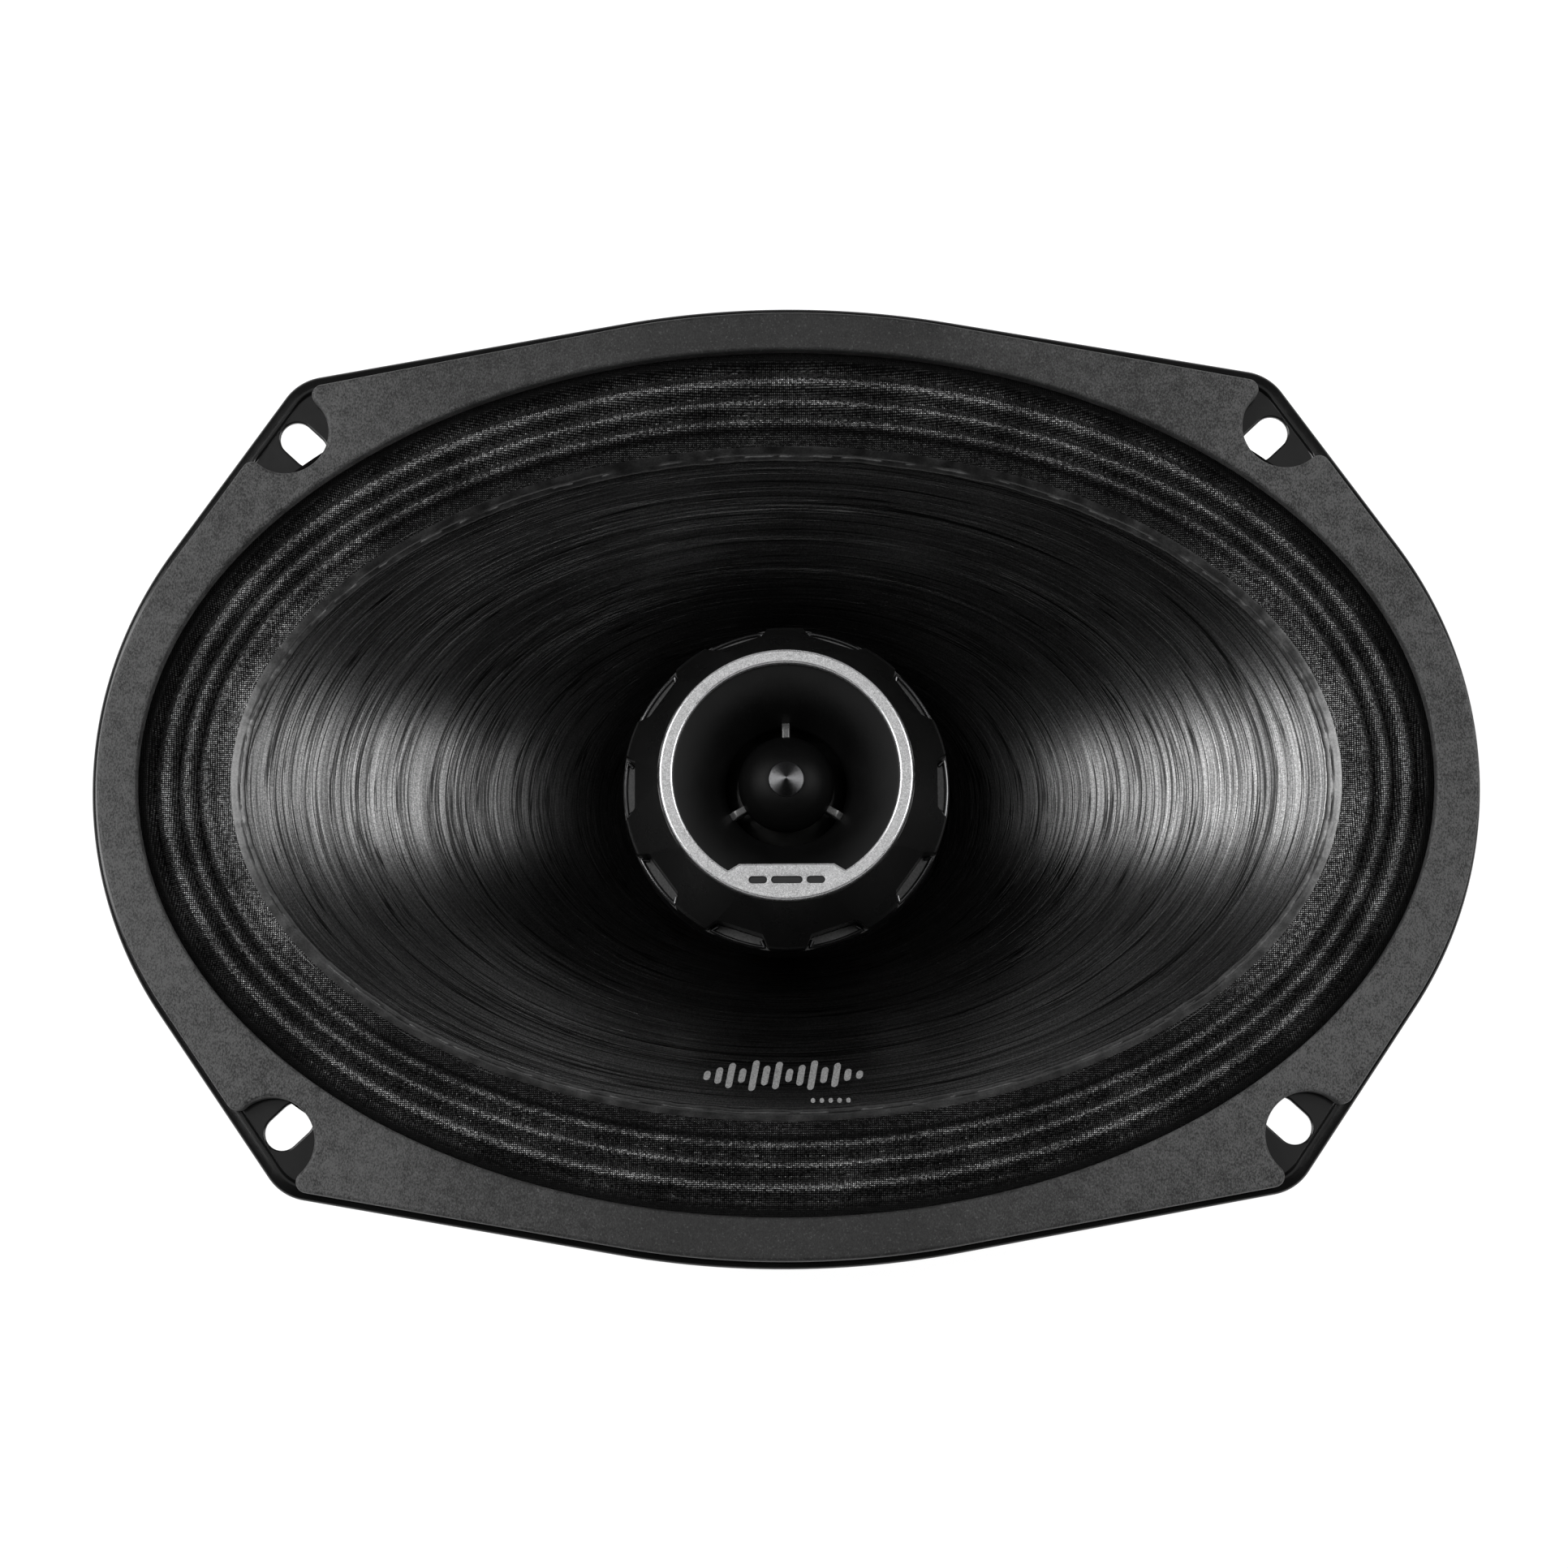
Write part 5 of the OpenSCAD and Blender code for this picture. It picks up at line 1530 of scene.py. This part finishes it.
def make_bezel():
    s = Soup()
    R0, R1 = 19.3, 21.65
    pq = [(8.05, -15.4), (9.9, -16.5)]
    a_end = math.degrees(math.atan2(-16.5, 9.9))
    r_end = math.hypot(9.9, 16.5)

    def inner(o):
        """Inside edge of the ring and the plaque's top edge, grown outwards into the metal by o."""
        r = R0 + o
        # ring arc, from the plaque's right corner up and round to the left one
        ang = math.degrees(math.asin(max(-1.0, min(1.0, -(16.6 + o * 0.45) / r))))
        pts = arc(0, 0, r, ang, 180 - ang, 150)
        d = Vector((9.9 - 8.05, -16.5 + 15.4)).normalized()
        nrm = Vector((-d.y, d.x))
        nrm = nrm if nrm.y < 0 else -nrm
        p1 = Vector((9.9, -16.5)) + nrm * o
        p2 = Vector((8.05, -15.4)) + nrm * o
        yt = -15.4 - o
        # where the chamfer line meets the top edge of the plaque
        t = (yt - p2.y) / d.y if abs(d.y) > 1e-9 else 0
        q = p2 + d * t
        # where the chamfer line meets the ring's arc
        b = p2.dot(d)
        c = p2.dot(p2) - r * r
        tt = -b + math.sqrt(max(b * b - c, 0.0))
        e = p2 + d * tt
        ang = math.degrees(math.atan2(e.y, e.x))
        pts = arc(0, 0, r, ang, 180 - ang, 150)
        m = [(-x, y) for x, y in ((e.x, e.y), (q.x, q.y))]
        n = 24
        return pts + [m[1]] + [(-q.x + 2 * q.x * i / n, q.y) for i in range(1, n)] + [(q.x, q.y)]

    z = 3.7
    zi = [(0.0, 2.3)] + [(0.42 - 0.42 * cosd(t), z - 0.42 + 0.42 * sind(t)) for t in (0, 15, 30, 45, 60, 75, 90)] + [(0.5, z)]
    zo = zi
    I = [at(inner(o), h) for o, h in zi]
    O = [at(circle(R1 - o, 240), h) for o, h in zo]
    s.rings(I, mi=[1] * 7 + [0])
    s.rings(O, mi=[1] * 7 + [0])
    # three engraved bars on the plaque, a generic ornament
    bars = []
    for cx, w in ((-4.9, 3.0), (0.0, 5.2), (4.9, 3.0)):
        bars.append(lambda o, cx=cx, w=w: rrect(cx - w / 2 + 0, -18.75, cx + w / 2, -17.65, 0.55)(-o))
    s.fill([[p[:2] for p in O[-1]], [p[:2] for p in I[-1]]] + [b(0.08) for b in bars], z)
    s.fill([circle(R1, 240), inner(0.0)], 2.3, mi=1, flip=True)
    for b in bars:
        s.rings([at(b(0.08), z), at(b(0.02), z - 0.03), at(b(0.0), z - 0.1), at(b(-0.04), z - 0.26)], mi=2)
        s.fill([b(-0.04)], z - 0.26, mi=2)
    o = s.make("bezel_trim", [M["silver_trim"], M["silver_bevel"], M["inlay"]], merge=0.001, sharp=28)
    return attach(o, "frame", "silver_trim", ["bezel_ring"])


make_bezel()


def make_plug():
    s = Soup()
    bul = crom([(1.25, -1.65), (3.1, -1.7), (4.7, -2.25), (6.25, -3.3), (7.5, -4.8), (8.15, -6.2), (8.3, -7.2), (8.2, -8.6), (7.7, -11.3)], 6)
    prof = [(p.x, p.y) for p in bul] + [(7.3, -11.35), (4, -11.0), (0.0, -10.9), (0.0, -4.05), (1.2, -4.05), (1.22, -1.7)]
    lathe(s, prof, 128, closed=False)
    lathe(s, rounded([(10.7, -9.5), (18.5, -9.5), (18.5, -14.6), (15.9, -14.6), (15.9, -12.6), (10.7, -12.6)], [0.25, 0.1, 0.2, 0.2, 0.2, 0.2], 4), 128, closed=True)
    for k in range(3):
        a = math.radians(90 + 120 * k)
        c, sn = math.cos(a), math.sin(a)
        sec = rounded([(-0.75, -10.3), (0.75, -10.3), (0.62, -7.6), (-0.62, -7.6)], 0.2, 4)
        rings = []
        for x in np.linspace(7.2, 11.3, 9):
            drop = 0.0 if x < 10.2 else (x - 10.2) * 1.0
            rings.append([(x * c - y * sn, x * sn + y * c, min(z, -7.6 - drop) if z > -9 else z) for y, z in sec])
        # painted highlight: the spokes take the lighter spoke plastic in place of the light they catch
        s.rings(rings, mi=1)
        m = len(sec)
        s.add(rings[0], [tuple(range(m))], 1)
        s.add(rings[-1], [tuple(range(m))[::-1]], 1)
    return attach(s.make("phase_body", [M["plug"], M["spoke"]], merge=0.001, sharp=40), "frame", "black_plastic", ["phase_plug"])


make_plug()


def make_tip():
    s = Soup()
    prof = [(0.0, -0.02), (0.12, -0.04), (0.3, -0.14)] + [(0.3 + 2.62 * i / 20, -0.14 - 1.3 * i / 20) for i in range(1, 21)] + [(3.04, -1.5), (3.1, -1.58), (3.08, -1.68), (1.2, -1.7), (1.2, -4), (0.0, -4.0)]
    lathe(s, prof, 128)
    return attach(s.make("tip_cone", [M["tip_metal"]], merge=0.001, sharp=40), "frame", "tip_metal", ["phase_plug_tip"])


make_tip()


# ---------------------------------------------------------------- clip, rivets and eyelets, with softened edges
def make_clip():
    s = Soup()
    n = 72
    sec = rounded([(6.25, -3), (6.9, -3), (6.9, 3), (6.25, 3)], 0.14, 4)
    s.rings([[(z, CAP_Y + r * math.cos(TAU * i / n), CAP_Z + r * math.sin(TAU * i / n)) for i in range(n)] for r, z in sec], closed=True)
    xf = Matrix.Translation((0, -51.6, 0)) @ Matrix.Rotation(math.radians(-90), 4, "X") @ Matrix.Scale(-1, 4, (0, 1, 0))
    xf = Matrix(((1, 0, 0, 0), (0, 0, 1, -51.6), (0, 1, 0, 0), (0, 0, 0, 1)))
    plate(s, rrect(-3, -48, 3, -39.2, 1.2), [hole(0, -41.5, 1.3)], 0.0, 0.7, 0.12, xf=xf)
    return attach(s.make("clip_band", [M["zinc_steel"]], merge=0.001, sharp=40), "frame", "zinc_steel", ["capacitor_clip"])


make_clip()


def dome_head(soup, xf, r, h, base, stem_r, stem_z, n=40):
    """A rivet: domed head of radius r and height h on base, and a stem to stem_z."""
    prof = [(0.0, base + h)] + [(r * math.sin(a), base + h * math.cos(a)) for a in [math.pi / 2 * i / 9 for i in range(1, 10)]]
    prof = [(0.0, base + h)] + [(r * math.sin(math.pi / 2 * i / 9), base + h * math.cos(math.pi / 2 * i / 9)) for i in range(1, 10)]
    prof += [(r, base), (stem_r, base), (stem_r, stem_z), (0.0, stem_z)]
    st = len(soup.v)
    lathe(soup, prof, n)
    for i in range(st, len(soup.v)):
        soup.v[i] = tuple(xf @ Vector(soup.v[i]))


def make_rivets():
    s = Soup()
    for k in range(4):
        a = math.radians(45 + 90 * k)
        xf = Matrix.Translation((30 * math.cos(a), 30 * math.sin(a), 0))
        dome_head(s, xf, 3.4, 1.2, -52.5, 2.0, -58)
    attach(s.make("floor_rivets", [M["zinc_steel"]], merge=0.001, sharp=45), "frame", "zinc_steel", ["basket_rivets"])
    s = Soup()
    for x in (-7.5, 7.5):
        xf = LEG @ Matrix.Translation((x, 5.5, 0))
        dome_head(s, xf, 2.6, 0.9, 2.5, 1.5, -2)
        st = len(s.v)
        lathe(s, rounded([(1.5, -0.1), (2.5, -0.1), (2.5, 0.9), (1.5, 0.9)], 0.15, 3), 40, closed=True)
        for i in range(st, len(s.v)):
            s.v[i] = tuple(xf @ Vector(s.v[i]))
    for x in (-5.5, 5.5):
        xf = LEG @ Matrix.Translation((x, -2, 0))
        dome_head(s, xf, 1.9, 0.6, 3.3, 1.2, 0.9)
    attach(s.make("strip_rivets", [M["nickel"]], merge=0.001, sharp=45), "frame", "nickel", ["terminal_rivets"])
    s = Soup()
    for x in (6.5, -6.0):
        dome_head(s, LEG @ Matrix.Translation((x, 0.35, 0)), 1.15, 1.0, 3.28, 0.9, 3.0)
    attach(s.make("solder_joints", [M["solder"]], merge=0.001, sharp=60), "frame", "nickel")
    s = Soup()
    xf = Matrix(((1, 0, 0, 0), (0, 0, -1, -51.6), (0, 1, 0, -41.5), (0, 0, 0, 1)))
    dome_head(s, xf, 2.0, 0.8, 0.0, 1.3, -4.2)
    attach(s.make("band_rivet", [M["zinc_steel"]], merge=0.001, sharp=45), "frame", "zinc_steel", ["clip_rivet"])


make_rivets()


# ---------------------------------------------------------------- stage, world, lights and camera
def stage_mat(name, v, e):
    m = Mat(name, (v, v, v), 0.85)
    m.set("Emission Color", (1, 1, 1, 1))
    m.set("Emission Strength", e)
    n = m.noise(m.coord(), mm=400, detail=2)
    m.plug(m.ramp(n, [(0.3, grey(v * 0.985)), (0.7, grey(v))]), "Base Color")
    return m.m


def make_stage():
    me = bpy.data.meshes.new("floor")
    z, h = -0.0862, 4.0
    bm = bmesh.new()
    bmesh.ops.create_grid(bm, x_segments=8, y_segments=8, size=h)
    for v in bm.verts:
        v.co.z = z
    bm.to_mesh(me)
    bm.free()
    o = bpy.data.objects.new("floor", me)
    me.materials.append(stage_mat("floor_paper", 0.25, 0.92))
    scene.collection.objects.link(o)
    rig.stage(o)


make_stage()

world = bpy.data.worlds.new("studio")
scene.world = world
world.use_nodes = True
wt = world.node_tree
bg = [n for n in wt.nodes if n.type == "BACKGROUND"][0]
tc = wt.nodes.new("ShaderNodeTexCoord")
sx = wt.nodes.new("ShaderNodeSeparateXYZ")
wt.links.new(tc.outputs["Generated"], sx.inputs[0])
wr = wt.nodes.new("ShaderNodeValToRGB")
wt.links.new(sx.outputs["Z"], wr.inputs["Fac"])
e = wr.color_ramp.elements
e[0].position, e[0].color = 0.0, (0.95, 0.95, 0.95, 1)
e[1].position, e[1].color = 0.5, (0.006, 0.006, 0.006, 1)
for pos, val in ((0.18, 0.86), (0.25, 0.3), (0.35, 0.04)):
    x = e.new(pos)
    x.color = (val, val, val, 1)
wt.links.new(wr.outputs["Color"], bg.inputs["Color"])
bg.inputs["Strength"].default_value = 1.0


def softbox(name, loc, target, w, h, radiance):
    d = bpy.data.lights.new(name, "AREA")
    d.shape = "RECTANGLE"
    d.size, d.size_y = w, h
    d.energy = radiance * math.pi * w * h
    o = bpy.data.objects.new(name, d)
    o.location = loc
    o.rotation_mode = "QUATERNION"
    o.rotation_quaternion = (Vector(target) - Vector(loc)).to_track_quat("-Z", "Y")
    scene.collection.objects.link(o)
    return o


softbox("soft_left", (-0.97, 0.26, 1.15), (0, 0, 0), 0.8, 0.85, 6.6)
softbox("soft_right", (1.02, 0.24, 1.08), (0, 0, 0), 0.8, 0.85, 4.5)
softbox("soft_overhead", (0.0, 0.3, 1.6), (0, 0, 0), 1.25, 1.0, 0.4)

cam_data = bpy.data.cameras.new("camera")
cam = bpy.data.objects.new("camera", cam_data)
scene.collection.objects.link(cam)
cam_data.sensor_width = 36.0
cam_data.lens = 72.5
cam_data.clip_start, cam_data.clip_end = 0.01, 50
aim = Vector((-0.38, -1.15, 0.0)) * MM
tilt = math.radians(80)
cam.location = aim + Vector((0.0, -math.cos(tilt), math.sin(tilt))) * 0.54
q = (aim - cam.location).to_track_quat("-Z", "Y")
cam.rotation_mode = "QUATERNION"
cam.rotation_quaternion = q @ Matrix.Rotation(math.radians(-0.35), 3, "Z").to_quaternion()
scene.camera = cam
scene.view_settings.view_transform = "Standard"
scene.view_settings.look = "None"
scene.view_settings.exposure = 0.0
scene.view_settings.gamma = 1.0

vis_lo, vis_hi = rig.bounds()
with open("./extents.json", "w") as f:
    json.dump({"cad": [list(cad_lo), list(cad_hi)], "visual": [list(vis_lo), list(vis_hi)]}, f)
